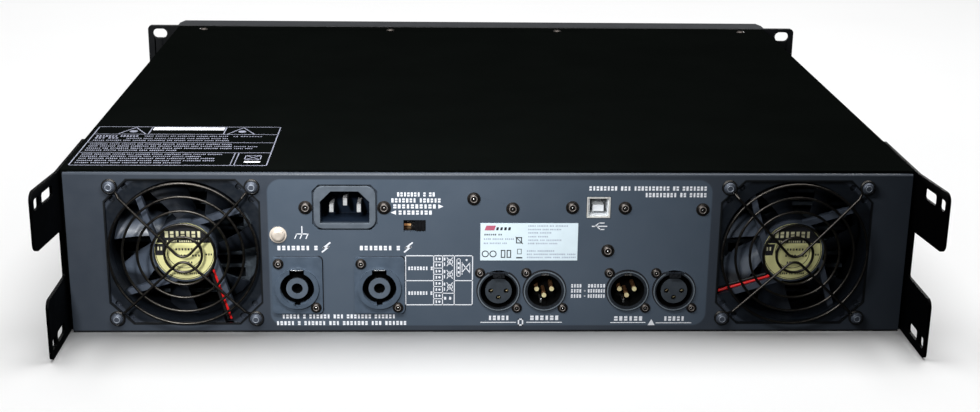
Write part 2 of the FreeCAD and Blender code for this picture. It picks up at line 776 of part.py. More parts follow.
def vee(centre_x, updown, apex, bend):
    """Points of one V-shaped guard wire: eye, leg, rounded apex, leg, eye."""
    target = Vector(centre_x, 0, fan_level + apex)
    eye = Vector(centre_x + half_holes, 0, fan_level + updown * half_holes)
    run = eye - target
    run.normalize()
    lean = math.atan2(abs(run.x), abs(run.z))
    reach = bend / math.tan(lean)
    middle_z = target.z + updown * bend / math.sin(lean)
    near = eye - run * 3.6
    rise = eye - run * 7.0
    points = [(near.x, rear_face + guard_wire, near.z), (rise.x, spoke_y, rise.z)]
    steps = 8
    swing = math.pi / 2 - lean
    for index in range(steps + 1):
        turn = swing * (1 - 2 * index / steps)
        points.append((centre_x + bend * math.sin(turn), spoke_y, middle_z - updown * bend * math.cos(turn)))
    points.append((2 * centre_x - rise.x, spoke_y, rise.z))
    points.append((2 * centre_x - near.x, rear_face + guard_wire, near.z))
    return points


for side, sign in SIDES:
    centre_x = sign * fan_offset
    pieces = []
    for radius in (9.5, 16.3, 23.4, 30.9, 37.9):
        pieces.append(Part.makeTorus(radius, guard_wire, Vector(centre_x, ring_y, fan_level), Vector(0, 1, 0)))
    for updown, apex in ((1, -3.3), (-1, -1.6)):
        pieces.append(bent_wire(vee(centre_x, updown, apex, 5.4), guard_wire))
        for way in (-1, 1):
            eye = Vector(centre_x + way * half_holes, rear_face + guard_wire, fan_level + updown * half_holes)
            pieces.append(Part.makeTorus(3.3, guard_wire, eye, Vector(0, 1, 0)))
    guard = pieces[0].multiFuse(pieces[1:])
    if len(guard.Solids) != 1:
        raise RuntimeError("the fan guard is not one piece")
    solid_node(f"fan_guard_{side}", guard.Solids[0])

fan_places = []
for sign in (-1, 1):
    for dx in (-1, 1):
        for dz in (-1, 1):
            spot = (sign * fan_offset + dx * half_holes, rear_face + 2 * guard_wire, fan_level + dz * half_holes)
            fan_places.append((spot, REAR))
screws("fan_screws", screw_shape(3.2, 2.0, 2.0, 16.0, recess=False, washer=0.5), fan_places)

labels = []
for sign in ("-", ""):
    labels.append(rod("Y", f"{sign}fan_offset", f"{fan_rear} - 1", "fan_level", "15.4", "0.3"))
node("fan_hub_labels", group(*labels))

# the two leads of each fan leave the hub along a strut and run to the frame


def lead(centre_x, turn, beside, start, stop):
    wire = Part.makeCylinder(0.8, stop - start, Vector(beside, fan_back - 3, start), Vector(0, 0, 1))
    return along_strut(wire, centre_x, turn)


for colour, beside, start, stop in (("red", -2.4, 5.3, 33.6), ("black", -4.1, 7.2, 33.2)):
    wires = [lead(sign * fan_offset, LEAD_TURN[side], beside, start, stop) for side, sign in SIDES]
    solid_node(f"fan_lead_{colour}", Part.makeCompound(wires))

# ---------------------------------------------------------------- mains inlet

nose = round_plate("inlet_x", f"{fan_rear} - 1", "inlet_z", "inlet_wide", "3", "inlet_tall", "5")
collar = round_plate("inlet_x", f"{fan_rear} - 3.5", "inlet_z", "50", "3.5", "inlet_tall + 1", "6")
case = cbox("inlet_x", f"{fan_rear} - 24", "inlet_z", "28.6", "21", "20.4")
cavity_points = [(-12.5, -8.5), (12.5, -8.5), (12.5, 3.0), (7.0, 8.5), (-7.0, 8.5), (-12.5, 3.0)]
cavity_body = doc.addObject("PartDesign::Body", "InletCavity")
cavity_sketch = sketch_on(cavity_body, "CavityOutline", "XZ_Plane", "-rear_face - 3")
outline(cavity_sketch, [(f"inlet_x + {x}", f"inlet_z + {z}") for x, z in cavity_points])
pad(cavity_body, cavity_sketch, "20.5")
inlet_holes = [rod("Y", f"inlet_x {d} inlet_screws/2", f"{fan_rear} - 6", "inlet_z", "1.7", "8") for d in ("-", "+")]
node("mains_inlet", cut(fuse(nose, collar, case), cavity_body, *inlet_holes))
blades = []
for dx, dz in ((-7.0, -1.6), (0.0, 2.0), (7.0, -1.6)):
    blades.append(cbox(f"inlet_x + {dx}", "rear_face - 17.5", f"inlet_z + {dz}", "2", "14", "4"))
node("mains_inlet_blades", group(*blades))
inlet_x, inlet_z = SIZES["inlet_x"], SIZES["inlet_z"]
screws("mains_inlet_screws", screw_shape(3.0, 1.5, 1.6, 9.0, washer=0.5),
       [((inlet_x + d * 20.0, rear_face, inlet_z), REAR) for d in (-1, 1)])
screws("ground_screw", screw_shape(3.8, 2.4, 2.0, 9.0, recess=False, washer=0.55), [((SIZES["ground_x"], rear_face, SIZES["ground_z"]), REAR)])

# ---------------------------------------------------------------- ground-lift switch

lift_case = cbox("lift_x", f"{fan_rear} - 9", "lift_z", "20", "9", "9")
lift_hollow = cbox("lift_x", f"{fan_rear} - 7.5", "lift_z", "lift_wide + 0.2", "8", "lift_tall + 0.1")
node("ground_switch_body", cut(lift_case, lift_hollow))
lever = cbox("lift_x - lift_wide/4", f"{fan_rear} - 7.3", "lift_z", "lift_wide/2 - 0.3", "8.4", "lift_tall - 0.3")
ridges = [cbox(f"lift_x - lift_wide/4 + {dx}", f"{fan_rear} + 1.1", "lift_z", "0.7", "0.6", "lift_tall - 0.3")
          for dx in (-1.6, 0, 1.6)]
node("ground_switch_slider", fuse(lever, *ridges))

# ---------------------------------------------------------------- speaker sockets

socket_shells = []
socket_cores = []
for alias in SPEAKERS:
    flange = round_plate(alias, "rear_face", "speaker_z", "flange_wide", "1.6", "flange_tall", "2.4")
    mouth = "speaker_z - 1.2"
    barrel = rod("Y", alias, "rear_face - 26", mouth, "11.5", "26")
    rim = rod("Y", alias, "rear_face", mouth, "11.2", "3.2")
    blank = fuse(flange, barrel, rim)
    bore = rod("Y", alias, "rear_face - 14", mouth, "8.8", "20")
    keys = [
        cbox(alias, "rear_face - 10", f"{mouth} + 8.9", "7.5", "14", "2.6"),
        cbox(alias, "rear_face - 10", f"{mouth} - 8.9", "3.0", "14", "2.2"),
    ]
    screw_holes = [
        rod("Y", f"{alias} + flange_screw_x", "rear_face - 1", "speaker_z + flange_screw_z", "1.6", "4"),
        rod("Y", f"{alias} - flange_screw_x", "rear_face - 1", "speaker_z - flange_screw_z", "1.6", "4"),
    ]
    socket_shells.append(cut(blank, bore, *keys, *screw_holes))
    post = rod("Y", alias, "rear_face - 14", mouth, "5.6", "16.6")
    socket_cores.append(cut(post, rod("Y", alias, "rear_face - 12", mouth, "2.9", "20")))
node("speaker_sockets", group(*socket_shells))
node("speaker_cores", group(*socket_cores))
speaker_places = []
for alias in SPEAKERS:
    for way in (-1, 1):
        spot = (SIZES[alias] + way * 9.5, rear_face + 1.6, SIZES["speaker_z"] + way * 12.0)
        speaker_places.append((spot, REAR))
screws("speaker_screws", screw_shape(2.4, 1.3, 1.5, 6.5, washer=0.4), speaker_places)

# ---------------------------------------------------------------- XLR connectors


def xlr_blank(alias):
    """The housing with its mounting flange behind the panel."""
    nose_ring = rod("Y", alias, "rear_face - 26", "xlr_level", "xlr_radius", "27.2")
    flange = round_plate(alias, f"{fan_rear} - 2", "xlr_level", "23.8", "2", "25", "2.5")
    return fuse(nose_ring, flange)


def xlr_screw_holes(alias):
    return [
        rod("Y", f"{alias} + xlr_screw", f"{fan_rear} - 3", "xlr_level + xlr_screw", "1.6", "5"),
        rod("Y", f"{alias} - xlr_screw", f"{fan_rear} - 3", "xlr_level - xlr_screw", "1.6", "5"),
    ]


input_shells = []
input_inserts = []
for name, alias in (("a", "input_a"), ("b", "input_b")):
    bore = rod("Y", alias, "rear_face - 14", "xlr_level", "9.5", "20")
    latch_slot = cbox(alias, "rear_face - 8", "xlr_level + 9.3", "6.2", "12", "3.8")
    input_shells.append(cut(xlr_blank(alias), bore, latch_slot, *xlr_screw_holes(alias)))
    sockets = []
    for dx, dz in ((-4.0, 0.0), (4.0, 0.0), (0.0, -3.7)):
        sockets.append(rod("Y", f"{alias} + {dx}", "rear_face - 11", f"xlr_level + {dz}", "1.35", "16"))
    insert = rod("Y", alias, "rear_face - 14", "xlr_level", "6.9", "14.8")
    input_inserts.append(cut(insert, *sockets))
    tab = cbox(alias, "rear_face - 6", "xlr_level + 9.1", "5.9", "8.6", "2.6")
    node(f"xlr_latch_{name}", tab)
node("xlr_input_shells", group(*input_shells))
node("xlr_input_inserts", group(*input_inserts))

for name, alias in (("a", "output_a"), ("b", "output_b")):
    recess = cut(rod("Y", alias, "rear_face - 14", "xlr_level", "8.9", "20"),
                 cbox(alias, "rear_face - 15", "xlr_level - 8.4", "2.6", "14", "1.8"))
    slit = cbox(alias, "rear_face - 8", "xlr_level + 9.1", "4.4", "12", "1.6")
    node(f"xlr_output_{name}", cut(xlr_blank(alias), recess, slit, *xlr_screw_holes(alias)))
pins = []
for alias in ("output_a", "output_b"):
    for dx, dz in ((-3.9, 0.0), (3.9, 0.0), (0.0, -3.5)):
        pin = rod("Y", f"{alias} + {dx}", "rear_face - 14", f"xlr_level + {dz}", "1.2", "12")
        pins.append(pin)
node("xlr_pins", group(*pins))
xlr_places = []
for alias in XLRS:
    for way in (-1, 1):
        spot = (SIZES[alias] + way * SIZES["xlr_screw"], rear_face, SIZES["xlr_level"] + way * SIZES["xlr_screw"])
        xlr_places.append((spot, REAR))
screws("xlr_screws", screw_shape(2.3, 1.3, 1.5, 6.0, washer=0.4), xlr_places)

# ---------------------------------------------------------------- USB port and rating label

usb_shell = cbox("usb_x", "rear_face - 16", "usb_z", "usb_wide", "16.4", "usb_tall")
usb_hollow = cbox("usb_x", "rear_face - 14.5", "usb_z", "usb_wide - 1.2", "20", "usb_tall - 1.2")
node("usb_port", cut(usb_shell, usb_hollow))
node("usb_tongue", cbox("usb_x", "rear_face - 14.5", "usb_z - 1", "5.6", "12.5", "3.2"))
node("rating_label", box("-44.7", "rear_face", "39.8", "50.3", "0.2", "20.3"))

# ---------------------------------------------------------------- boards

node("input_board", box("-112", "rear_face - 27.6", "6", "128", "1.6", "76"))
board = box("-120", "-60", "8", "240", "205", "1.6")
board_holes = []
stand_spots = [(-112, -52), (-112, 45), (-112, 137), (112, -52), (112, 45), (112, 137)]
for x, y in stand_spots:
    board_holes.append(rod("Z", x, y, "7", "1.6", "4"))
node("amplifier_board", cut(board, *board_holes))
node("board_standoffs", group(*[rod("Z", x, y, "sheet_thick", "3", "6.5") for x, y in stand_spots]))

# ---------------------------------------------------------------- heat sinks and transistors

for side, sign in SIDES:
    start = "126" if sign > 0 else "-132"
    wall = box(start, "-60", "sheet_thick", "6", "208", "80")
    fins = []
    fin_start = "131" if sign > 0 else "-196"
    for index in range(11):
        level = 6.0 + index * 7.2
        fins.append(box(fin_start, "-60", f"{level}", "65", "208", "2"))
    node(f"heat_sink_{side}", fuse(wall, *fins))
transistors = []
for sign in (-1, 1):
    for index in range(5):
        y = -40 + index * 40
        x = "120.8" if sign > 0 else "-126"
        transistors.append(box(x, y, "20", "5.2", "16", "21"))
node("output_transistors", group(*transistors))

# ---------------------------------------------------------------- power supply

core = cut(rod("Z", "0", "-118", "sheet_thick", "55", "56"), rod("Z", "0", "-118", "0", "20", "60"))
node("transformer", core)
node("transformer_clamp", fuse(rod("Z", "0", "-118", "sheet_thick + 56", "30", "3"), rod("Z", "0", "-118", "sheet_thick", "5", "60")))
cans = []
for x in (-60, -20, 20, 60):
    cans.append(rod("Z", x, "-32", "9.6", "16", "50"))
    cans.append(rod("Z", x, "8", "9.6", "16", "50"))
node("reservoir_capacitors", group(*cans))

# ---------------------------------------------------------------- front controls

front_y = number(bezel_front)
frame_block = cbox("rocker_x", f"{bezel_front} - 1.5", "rocker_level", "23", "1.5", "31")
frame_case = cbox("rocker_x", bezel_front, "rocker_level", "20", "17", "28")
frame_hollow = cbox("rocker_x", f"{bezel_front} - 2", "rocker_level", "17.4", "15", "25.4")
node("power_switch_frame", cut(fuse(frame_block, frame_case), frame_hollow))
rocker_axis_y = front_y + 4.0
rocker_level = SIZES["rocker_level"]
rocker_x = SIZES["rocker_x"]
profile = Part.Wire([
    Part.makeLine(Vector(0, -5.0, -10.8), Vector(0, 3.0, -9.0)),
    Part.makeLine(Vector(0, 3.0, -9.0), Vector(0, 3.0, 9.0)),
    Part.makeLine(Vector(0, 3.0, 9.0), Vector(0, -5.0, 10.8)),
    Part.Arc(Vector(0, -5.0, 10.8), Vector(0, -3.6, 0), Vector(0, -5.0, -10.8)).toShape(),
])
rocker = Part.Face(profile).extrude(Vector(16.8, 0, 0))
rocker_place = Placement(Vector(rocker_x - 8.4, rocker_axis_y, rocker_level), Rotation(Vector(1, 0, 0), 10))
solid_node("power_rocker", rocker, rocker_place)

node("front_board", cbox("8", f"{bezel_front} + 19", "44", "100", "1.6", "46"))
pots = []
for knob in ("knob_a", "knob_b"):
    pot = cbox(knob, f"{bezel_front} + 10", "knob_level", "17", "9", "19")
    bush = rod("Y", knob, f"{bezel_front} - 1", "knob_level", "5", "11")
    pots.append(cut(fuse(pot, bush), rod("Y", knob, f"{bezel_front} - 2", "knob_level", "shaft_radius + running_gap", "19")))
node("gain_pots", group(*pots))
for name, alias in (("a", "knob_a"), ("b", "knob_b")):
    grip = rod("Y", alias, f"{bezel_front} - 0.4 - knob_long", "knob_level", "knob_radius", "knob_long")
    skirt = rod("Y", alias, f"{bezel_front} - 0.4 - 3", "knob_level", "knob_radius + 1.5", "3")
    shaft = rod("Y", alias, f"{bezel_front} - 3", "knob_level", "shaft_radius", "18")
    relief = rod("Y", alias, f"{bezel_front} - 2", "knob_level", "6", "2.5")
    flutes = []
    for index in range(12):
        angle = math.radians(index * 30)
        dx = round(10.9 * math.cos(angle), 3)
        dz = round(10.9 * math.sin(angle), 3)
        flutes.append(rod("Y", f"{alias} + {dx}", f"{bezel_front} - 1.4 - knob_long", f"knob_level + {dz}", "1.6", "knob_long - 2"))
    pointer = cbox(alias, f"{bezel_front} - 0.9 - knob_long", "knob_level + 5.6", "1.4", "1.2", "8")
    node(f"gain_knob_{name}", fuse(cut(fuse(grip, skirt), relief, *flutes, pointer), shaft))
lamps = []
for x in LAMP_X:
    for z in (62.0, 26.0):
        lamps.append(rod("Y", x, f"{bezel_front} - 0.6", z, "1.5", "19.6"))
node("lamp_lenses", group(*lamps))

# ---------------------------------------------------------------- check and write

doc.recompute()
for thing in doc.Objects:
    if "Invalid" in thing.State or "Error" in thing.State:
        raise RuntimeError(f"{thing.Label} did not compute: {thing.State}")
names = [thing.Label for thing in NODES]
if len(set(names)) != len(names) or len(names) > 60:
    raise RuntimeError("the sub-part names are not unique or too many")
for thing in NODES:
    shape = thing.Shape
    if shape.isNull() or not shape.isValid() or not shape.Solids:
        raise RuntimeError(f"{thing.Label} has no valid solid")
    shape.exportStep(f"parts/{thing.Label}.step")
    print(f"{thing.Label:24s} solids {len(shape.Solids):2d}  volume {shape.Volume:12.1f}")
print(len(NODES), "sub-parts")
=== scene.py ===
import math

import bmesh
import bpy
from mathutils import Matrix, Vector


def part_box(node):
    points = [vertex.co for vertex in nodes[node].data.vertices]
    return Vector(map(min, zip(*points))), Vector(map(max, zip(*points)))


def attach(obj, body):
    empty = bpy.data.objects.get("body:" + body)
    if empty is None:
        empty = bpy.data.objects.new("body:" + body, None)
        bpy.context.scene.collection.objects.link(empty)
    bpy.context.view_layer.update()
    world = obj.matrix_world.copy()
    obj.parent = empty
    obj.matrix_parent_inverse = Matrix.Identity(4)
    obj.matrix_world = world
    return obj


# A two-channel rack power amplifier seen from the rear.
# Marks and fittings are placed in millimetres, and MM turns millimetres into metres.
# The frame is the CAD's: +X right seen from the front, +Y towards the rear panel, +Z up.

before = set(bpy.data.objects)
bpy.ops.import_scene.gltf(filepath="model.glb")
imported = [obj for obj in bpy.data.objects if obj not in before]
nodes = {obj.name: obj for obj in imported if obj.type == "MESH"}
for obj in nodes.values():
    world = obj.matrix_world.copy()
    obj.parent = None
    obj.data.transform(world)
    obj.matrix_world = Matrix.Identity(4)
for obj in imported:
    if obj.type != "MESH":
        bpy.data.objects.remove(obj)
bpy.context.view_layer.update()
scene = bpy.context.scene
MM = 0.001
PANEL_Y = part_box("rear_panel")[1].y
COVER_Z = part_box("top_cover")[1].z


def corners_of(name):
    """The low and high corner of a CAD node's box, in millimetres."""
    low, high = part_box(name)
    return low / MM, high / MM


def middle_of(name):
    """The middle of a CAD node's box, in millimetres."""
    low, high = corners_of(name)
    return (low + high) / 2


# places on the rear panel, in millimetres; the fans are a mirror pair, and the two speaker sockets share a
# node as the two inputs do, so one box gives both of a kind
FAN_X = middle_of("fan_frame_right").x
FAN_Z = middle_of("fan_frame_right").z
FLANGE_LOW, FLANGE_HIGH = corners_of("speaker_sockets")
FLANGE_HALF = (13.0, (FLANGE_HIGH.z - FLANGE_LOW.z) / 2)
SPEAKER_X = (FLANGE_LOW.x + FLANGE_HALF[0], FLANGE_HIGH.x - FLANGE_HALF[0])
SPEAKER_Z = middle_of("speaker_sockets").z
SHELL_LOW, SHELL_HIGH = corners_of("xlr_input_shells")
SHELL_HALF = 11.9
INPUT_X = (SHELL_LOW.x + SHELL_HALF, SHELL_HIGH.x - SHELL_HALF)
OUTPUT_X = (middle_of("xlr_output_a").x, middle_of("xlr_output_b").x)
AUDIO_Z = middle_of("xlr_output_a").z
AUDIO_RADIUS = 11.0


# ---------------------------------------------------------------- material tools

class Look:
    """A Principled material whose textures are set in object space."""

    def __init__(self, name, color, rough, metal=0.0, **sockets):
        self.mat = bpy.data.materials.new(name)
        self.mat.use_nodes = True
        self.tree = self.mat.node_tree
        self.bsdf = self.tree.nodes["Principled BSDF"]
        self.color = color
        self.shade = color
        self.bsdf.inputs["Base Color"].default_value = (*color, 1)
        self.bsdf.inputs["Roughness"].default_value = rough
        self.bsdf.inputs["Metallic"].default_value = metal
        for key, value in sockets.items():
            self.bsdf.inputs[key.replace("_", " ")].default_value = value
        self.coords = self.tree.nodes.new("ShaderNodeTexCoord")

    def node(self, kind, **values):
        item = self.tree.nodes.new(kind)
        for key, value in values.items():
            setattr(item, key, value)
        return item

    def link(self, source, target):
        self.tree.links.new(source, target)

    def noise(self, size, detail=3.0, rough=0.5, stretch=(1, 1, 1)):
        """Noise whose blobs are about size metres across."""
        mapping = self.node("ShaderNodeMapping")
        mapping.inputs["Scale"].default_value = stretch
        self.link(self.coords.outputs["Object"], mapping.inputs["Vector"])
        item = self.node("ShaderNodeTexNoise")
        item.inputs["Scale"].default_value = 1.0 / size
        item.inputs["Detail"].default_value = detail
        item.inputs["Roughness"].default_value = rough
        self.link(mapping.outputs["Vector"], item.inputs["Vector"])
        return item.outputs["Fac"]

    def remap(self, value, low, high, start=0.35, stop=0.65):
        item = self.node("ShaderNodeMapRange")
        item.inputs["From Min"].default_value = start
        item.inputs["From Max"].default_value = stop
        item.inputs["To Min"].default_value = low
        item.inputs["To Max"].default_value = high
        self.link(value, item.inputs["Value"])
        return item.outputs["Result"]

    def mix(self, factor, first, second):
        item = self.node("ShaderNodeMix", data_type="RGBA")
        self.link(factor, item.inputs[0])
        for index, value in ((6, first), (7, second)):
            if hasattr(value, "is_linked"):
                self.link(value, item.inputs[index])
            else:
                item.inputs[index].default_value = (*value, 1)
        return item.outputs[2]

    def tint(self, size, spread):
        """Colour that varies softly about the base colour."""
        low = [c * (1 - spread) for c in self.color]
        high = [min(1.0, c * (1 + spread)) for c in self.color]
        self.shade = self.mix(self.remap(self.noise(size), 0, 1), low, high)
        self.link(self.shade, self.bsdf.inputs["Base Color"])

    def scuff(self, size, low, high, stretch=(1, 1, 1)):
        """Roughness that varies between two values."""
        self.link(self.remap(self.noise(size, 4.0, 0.6, stretch), low, high), self.bsdf.inputs["Roughness"])

    def bump(self, size, depth, strength=0.5, detail=2.0, stretch=(1, 1, 1)):
        item = self.node("ShaderNodeBump")
        item.inputs["Strength"].default_value = strength
        item.inputs["Distance"].default_value = depth
        self.link(self.noise(size, detail, 0.5, stretch), item.inputs["Height"])
        self.link(item.outputs["Normal"], self.bsdf.inputs["Normal"])


def split(look):
    """The object-space coordinates of a surface point as three values."""
    item = look.node("ShaderNodeSeparateXYZ")
    look.link(look.coords.outputs["Object"], item.inputs[0])
    return item.outputs


def paint_recess_shade(look, face_y, depth, dark):
    """Painted shade in the recesses of a moulding: the colour darkens and the specular fades with depth
    below the face.
    """
    fade = look.remap(split(look)[1], 1.0, 0.0, face_y - depth, face_y)
    look.link(look.mix(fade, look.shade, dark), look.bsdf.inputs["Base Color"])
    specular = look.remap(fade, 0.5, 0.04, 0.0, 1.0)
    look.link(specular, look.bsdf.inputs["Specular IOR Level"])
    return look


def math_node(look, kind, first, second=None):
    """One maths step between sockets and plain numbers."""
    item = look.node("ShaderNodeMath", operation=kind)
    for index, value in enumerate((first, second)):
        if value is None:
            continue
        if isinstance(value, (int, float)):
            item.inputs[index].default_value = value
        else:
            look.link(value, item.inputs[index])
    return item.outputs[0]


def fan_offsets(look):
    """Distances from the nearer fan's axis along X and Z, both positive; they serve both fans."""
    parts = split(look)
    across = math_node(look, "SUBTRACT", math_node(look, "ABSOLUTE", parts[0]), FAN_X * MM)
    up = math_node(look, "SUBTRACT", parts[2], FAN_Z * MM)
    return math_node(look, "ABSOLUTE", across), math_node(look, "ABSOLUTE", up)


def fan_radius(look):
    """Distance from the nearer fan's axis."""
    across, up = fan_offsets(look)
    across_squared = math_node(look, "MULTIPLY", across, across)
    up_squared = math_node(look, "MULTIPLY", up, up)
    return math_node(look, "SQRT", math_node(look, "ADD", across_squared, up_squared))


def window_rim(look, width):
    """1 on a narrow rim round the chamfered fan windows, 0 further away."""
    half_window = 38.75 * MM
    corner_reach = 66.0 * MM
    soft = 0.2 * MM
    across, up = fan_offsets(look)
    past_corner = math_node(look, "SUBTRACT", math_node(look, "ADD", across, up), corner_reach)
    corner = math_node(look, "MULTIPLY", past_corner, 0.707)
    sides = math_node(look, "SUBTRACT", math_node(look, "MAXIMUM", across, up), half_window)
    gap = math_node(look, "MAXIMUM", sides, corner)
    return look.remap(gap, 1.0, 0.0, width - soft, width + soft)


def rounded_patch(look, low, high, radius, soft):
    """1 inside a rounded rectangle on the X-Z plane, 0 outside, with a soft edge; sizes in metres."""
    parts = split(look)
    squares = []
    for axis in (0, 2):
        middle = (low[axis > 0] + high[axis > 0]) / 2
        half = (high[axis > 0] - low[axis > 0]) / 2 - radius
        away = math_node(look, "ABSOLUTE", math_node(look, "SUBTRACT", parts[axis], middle))
        beyond = math_node(look, "MAXIMUM", math_node(look, "SUBTRACT", away, half), 0.0)
        squares.append(math_node(look, "MULTIPLY", beyond, beyond))
    gap = math_node(look, "SQRT", math_node(look, "ADD", squares[0], squares[1]))
    return look.remap(gap, 1.0, 0.0, radius - soft, radius + soft)


def powder(name, color, rough, spread=0.08, grain=0.9 * MM, depth=0.03 * MM, **sockets):
    """Powder coat: soft colour variation, orange-peel bump."""
    look = Look(name, color, rough, **sockets)
    look.tint(35 * MM, spread)
    look.scuff(12 * MM, rough - 0.05, rough + 0.06)
    look.bump(grain, depth)
    return look


def plastic(name, color, rough, spread=0.1, grain=0.35 * MM, depth=0.015 * MM, **sockets):
    """Moulded plastic with a fine spark texture."""
    look = Look(name, color, rough, **sockets)
    look.tint(6 * MM, spread)
    look.scuff(3 * MM, rough - 0.06, rough + 0.08)
    look.bump(grain, depth)
    return look


def metal(name, color, rough, stretch=(1, 1, 1), grain=0.4 * MM, spread=0.12):
    """Bare or plated metal with fine directional marks."""
    look = Look(name, color, rough, 1.0)
    look.tint(4 * MM, spread)
    look.scuff(1.5 * MM, rough - 0.08, rough + 0.1, stretch)
    look.bump(grain, 0.01 * MM, 0.4, 2.0, stretch)
    return look


def dress(names, look):
    """Give CAD nodes or pieces a material."""
    for item in names:
        thing = nodes[item] if isinstance(item, str) else item
        thing.data.materials.clear()
        thing.data.materials.append(look.mat)


# ---------------------------------------------------------------- materials


def painted_panel():
    """Paint with a lighter film on its middle, dark rims round the fan windows and a painted shade line
    along its foot.
    """
    look = powder("panel_paint", (0.038, 0.047, 0.062), 0.45, 0.05)
    film_low = (-113.2 * MM, 3.6 * MM)
    film_high = (114.2 * MM, 83.3 * MM)
    film_edge = rounded_patch(look, film_low, film_high, 7 * MM, 0.4 * MM)
    drift = look.remap(look.noise(60 * MM), 0.0, 1.0)
    film = look.mix(drift, (0.066, 0.088, 0.118), (0.077, 0.100, 0.132))
    tone = look.mix(film_edge, look.shade, film)
    tone = look.mix(window_rim(look, 0.9 * MM), tone, (0.002, 0.003, 0.004))
    # painted shade: dark along the foot of the panel, where it meets the floor
    foot_shade = look.remap(split(look)[2], 1.0, 0.0, 0.7 * MM, 1.3 * MM)
    tone = look.mix(foot_shade, tone, (0.003, 0.003, 0.004))
    look.link(tone, look.bsdf.inputs["Base Color"])
    return look


def fan_casing():
    """Grey struts and a near-black flange round the bore, painted light and shade on one moulding, and
    paler corners by the screws.
    """
    look = plastic("fan_plastic", (0.075, 0.090, 0.120), 0.42)
    from_axis = fan_radius(look)
    # painted light and shade: the struts are a lit grey, the flange round the bore, in shade behind the
    # panel, near-black
    flange_shade = look.remap(from_axis, 0.0, 1.0, 36.6 * MM, 37.4 * MM)
    look.shade = look.mix(flange_shade, look.shade, (0.006, 0.009, 0.014))
    corners = look.remap(from_axis, 0.0, 1.0, 44.5 * MM, 45.5 * MM)
    look.shade = look.mix(corners, look.shade, (0.036, 0.044, 0.060))
    # painted shade: the casing also darkens with depth below the panel
    return paint_recess_shade(look, PANEL_Y - 1.4 * MM, 9 * MM, (0.005, 0.006, 0.008))


def impeller():
    """Dark blades; those beside the hub towards +X are painted a paler grey, a painted highlight where a
    blade catches the light.
    """
    look = plastic("rotor_plastic", (0.012, 0.015, 0.021), 0.34)
    place = split(look)
    axis_x = math_node(look, "MULTIPLY", math_node(look, "SIGN", place[0]), FAN_X * MM)
    lit_blade_side = look.remap(math_node(look, "SUBTRACT", place[0], axis_x), 0.0, 1.0, 13 * MM, 17 * MM)
    rise = math_node(look, "ABSOLUTE", math_node(look, "SUBTRACT", place[2], 43.0 * MM))
    level = look.remap(rise, 1.0, 0.0, 13 * MM, 16 * MM)
    # painted highlight: the blades beside the hub towards +X are paler, as if lit
    tone = look.mix(math_node(look, "MULTIPLY", lit_blade_side, level), look.shade, (0.085, 0.105, 0.140))
    look.link(tone, look.bsdf.inputs["Base Color"])
    return look


def half_metal(name, color, rough, metallic):
    """A dull plated or painted metal that also scatters light."""
    look = metal(name, color, rough)
    look.bsdf.inputs["Metallic"].default_value = metallic
    return look


panel_paint = painted_panel()
cover_paint = powder("cover_paint", (0.0024, 0.0029, 0.0026), 0.7, 0.06, Specular_IOR_Level=0.0)
bracket_paint = powder("bracket_paint", (0.0004, 0.0004, 0.0005), 0.45, 0.1, Specular_IOR_Level=0.03)
front_paint = powder("front_paint", (0.012, 0.013, 0.015), 0.4, 0.2)
bezel_plastic = plastic("bezel_plastic", (0.022, 0.024, 0.028), 0.5)
grille_steel = powder("grille_steel", (0.014, 0.014, 0.016), 0.4, 0.2)
filter_foam = plastic("filter_foam", (0.010, 0.010, 0.010), 0.95, 0.4, 1.2 * MM, 0.6 * MM)
black_screw = metal("black_screw", (0.075, 0.066, 0.060), 0.42)
fan_screw = half_metal("fan_screw", (0.085, 0.098, 0.125), 0.45, 0.35)
bright_screw = half_metal("bright_screw", (0.80, 0.70, 0.60), 0.42, 0.25)
fan_plastic = fan_casing()
rotor_plastic = impeller()
guard_metal = metal("guard_wire", (0.064, 0.058, 0.052), 0.36)
inlet_plastic = plastic("inlet_plastic", (0.150, 0.175, 0.205), 0.38)
# painted shade: the inlet's cavity darkens with depth
paint_recess_shade(inlet_plastic, PANEL_Y + 1.9 * MM, 5.0 * MM, (0.010, 0.016, 0.028))
switch_plastic = plastic("switch_plastic", (0.006, 0.006, 0.007), 0.3)
contact_metal = half_metal("contact_metal", (0.62, 0.62, 0.62), 0.3, 0.3)
lever_plastic = plastic("lever_plastic", (0.008, 0.008, 0.009), 0.25)
speaker_plastic = plastic("speaker_plastic", (0.070, 0.095, 0.130), 0.42)
# painted shade: the gaps of the speaker sockets darken with depth
paint_recess_shade(speaker_plastic, PANEL_Y + 0.5 * MM, 1.2 * MM, (0.003, 0.003, 0.003))
core_plastic = plastic("speaker_core", (0.095, 0.118, 0.150), 0.42)
# painted shade: the speaker cores darken with depth
paint_recess_shade(core_plastic, PANEL_Y + 2.4 * MM, 1.2 * MM, (0.004, 0.004, 0.004))
xlr_shell = plastic("xlr_shell", (0.019, 0.023, 0.029), 0.36)
# painted shade: the XLR shells darken inside
paint_recess_shade(xlr_shell, PANEL_Y + 1.1 * MM, 1.6 * MM, (0.004, 0.004, 0.004))
# painted highlight: pale rings on the XLR shell rims
rim_highlight_plastic = plastic("rim_highlight_plastic", (0.15, 0.175, 0.20), 0.3)
xlr_insert = plastic("xlr_insert", (0.040, 0.048, 0.058), 0.42)
# painted shade: the XLR inserts darken with depth
paint_recess_shade(xlr_insert, PANEL_Y + 0.7 * MM, 1.2 * MM, (0.003, 0.003, 0.003))
latch_metal = metal("latch_metal", (0.16, 0.17, 0.19), 0.3)
pin_gold = half_metal("pin_gold", (1.0, 0.80, 0.45), 0.25, 0.3)
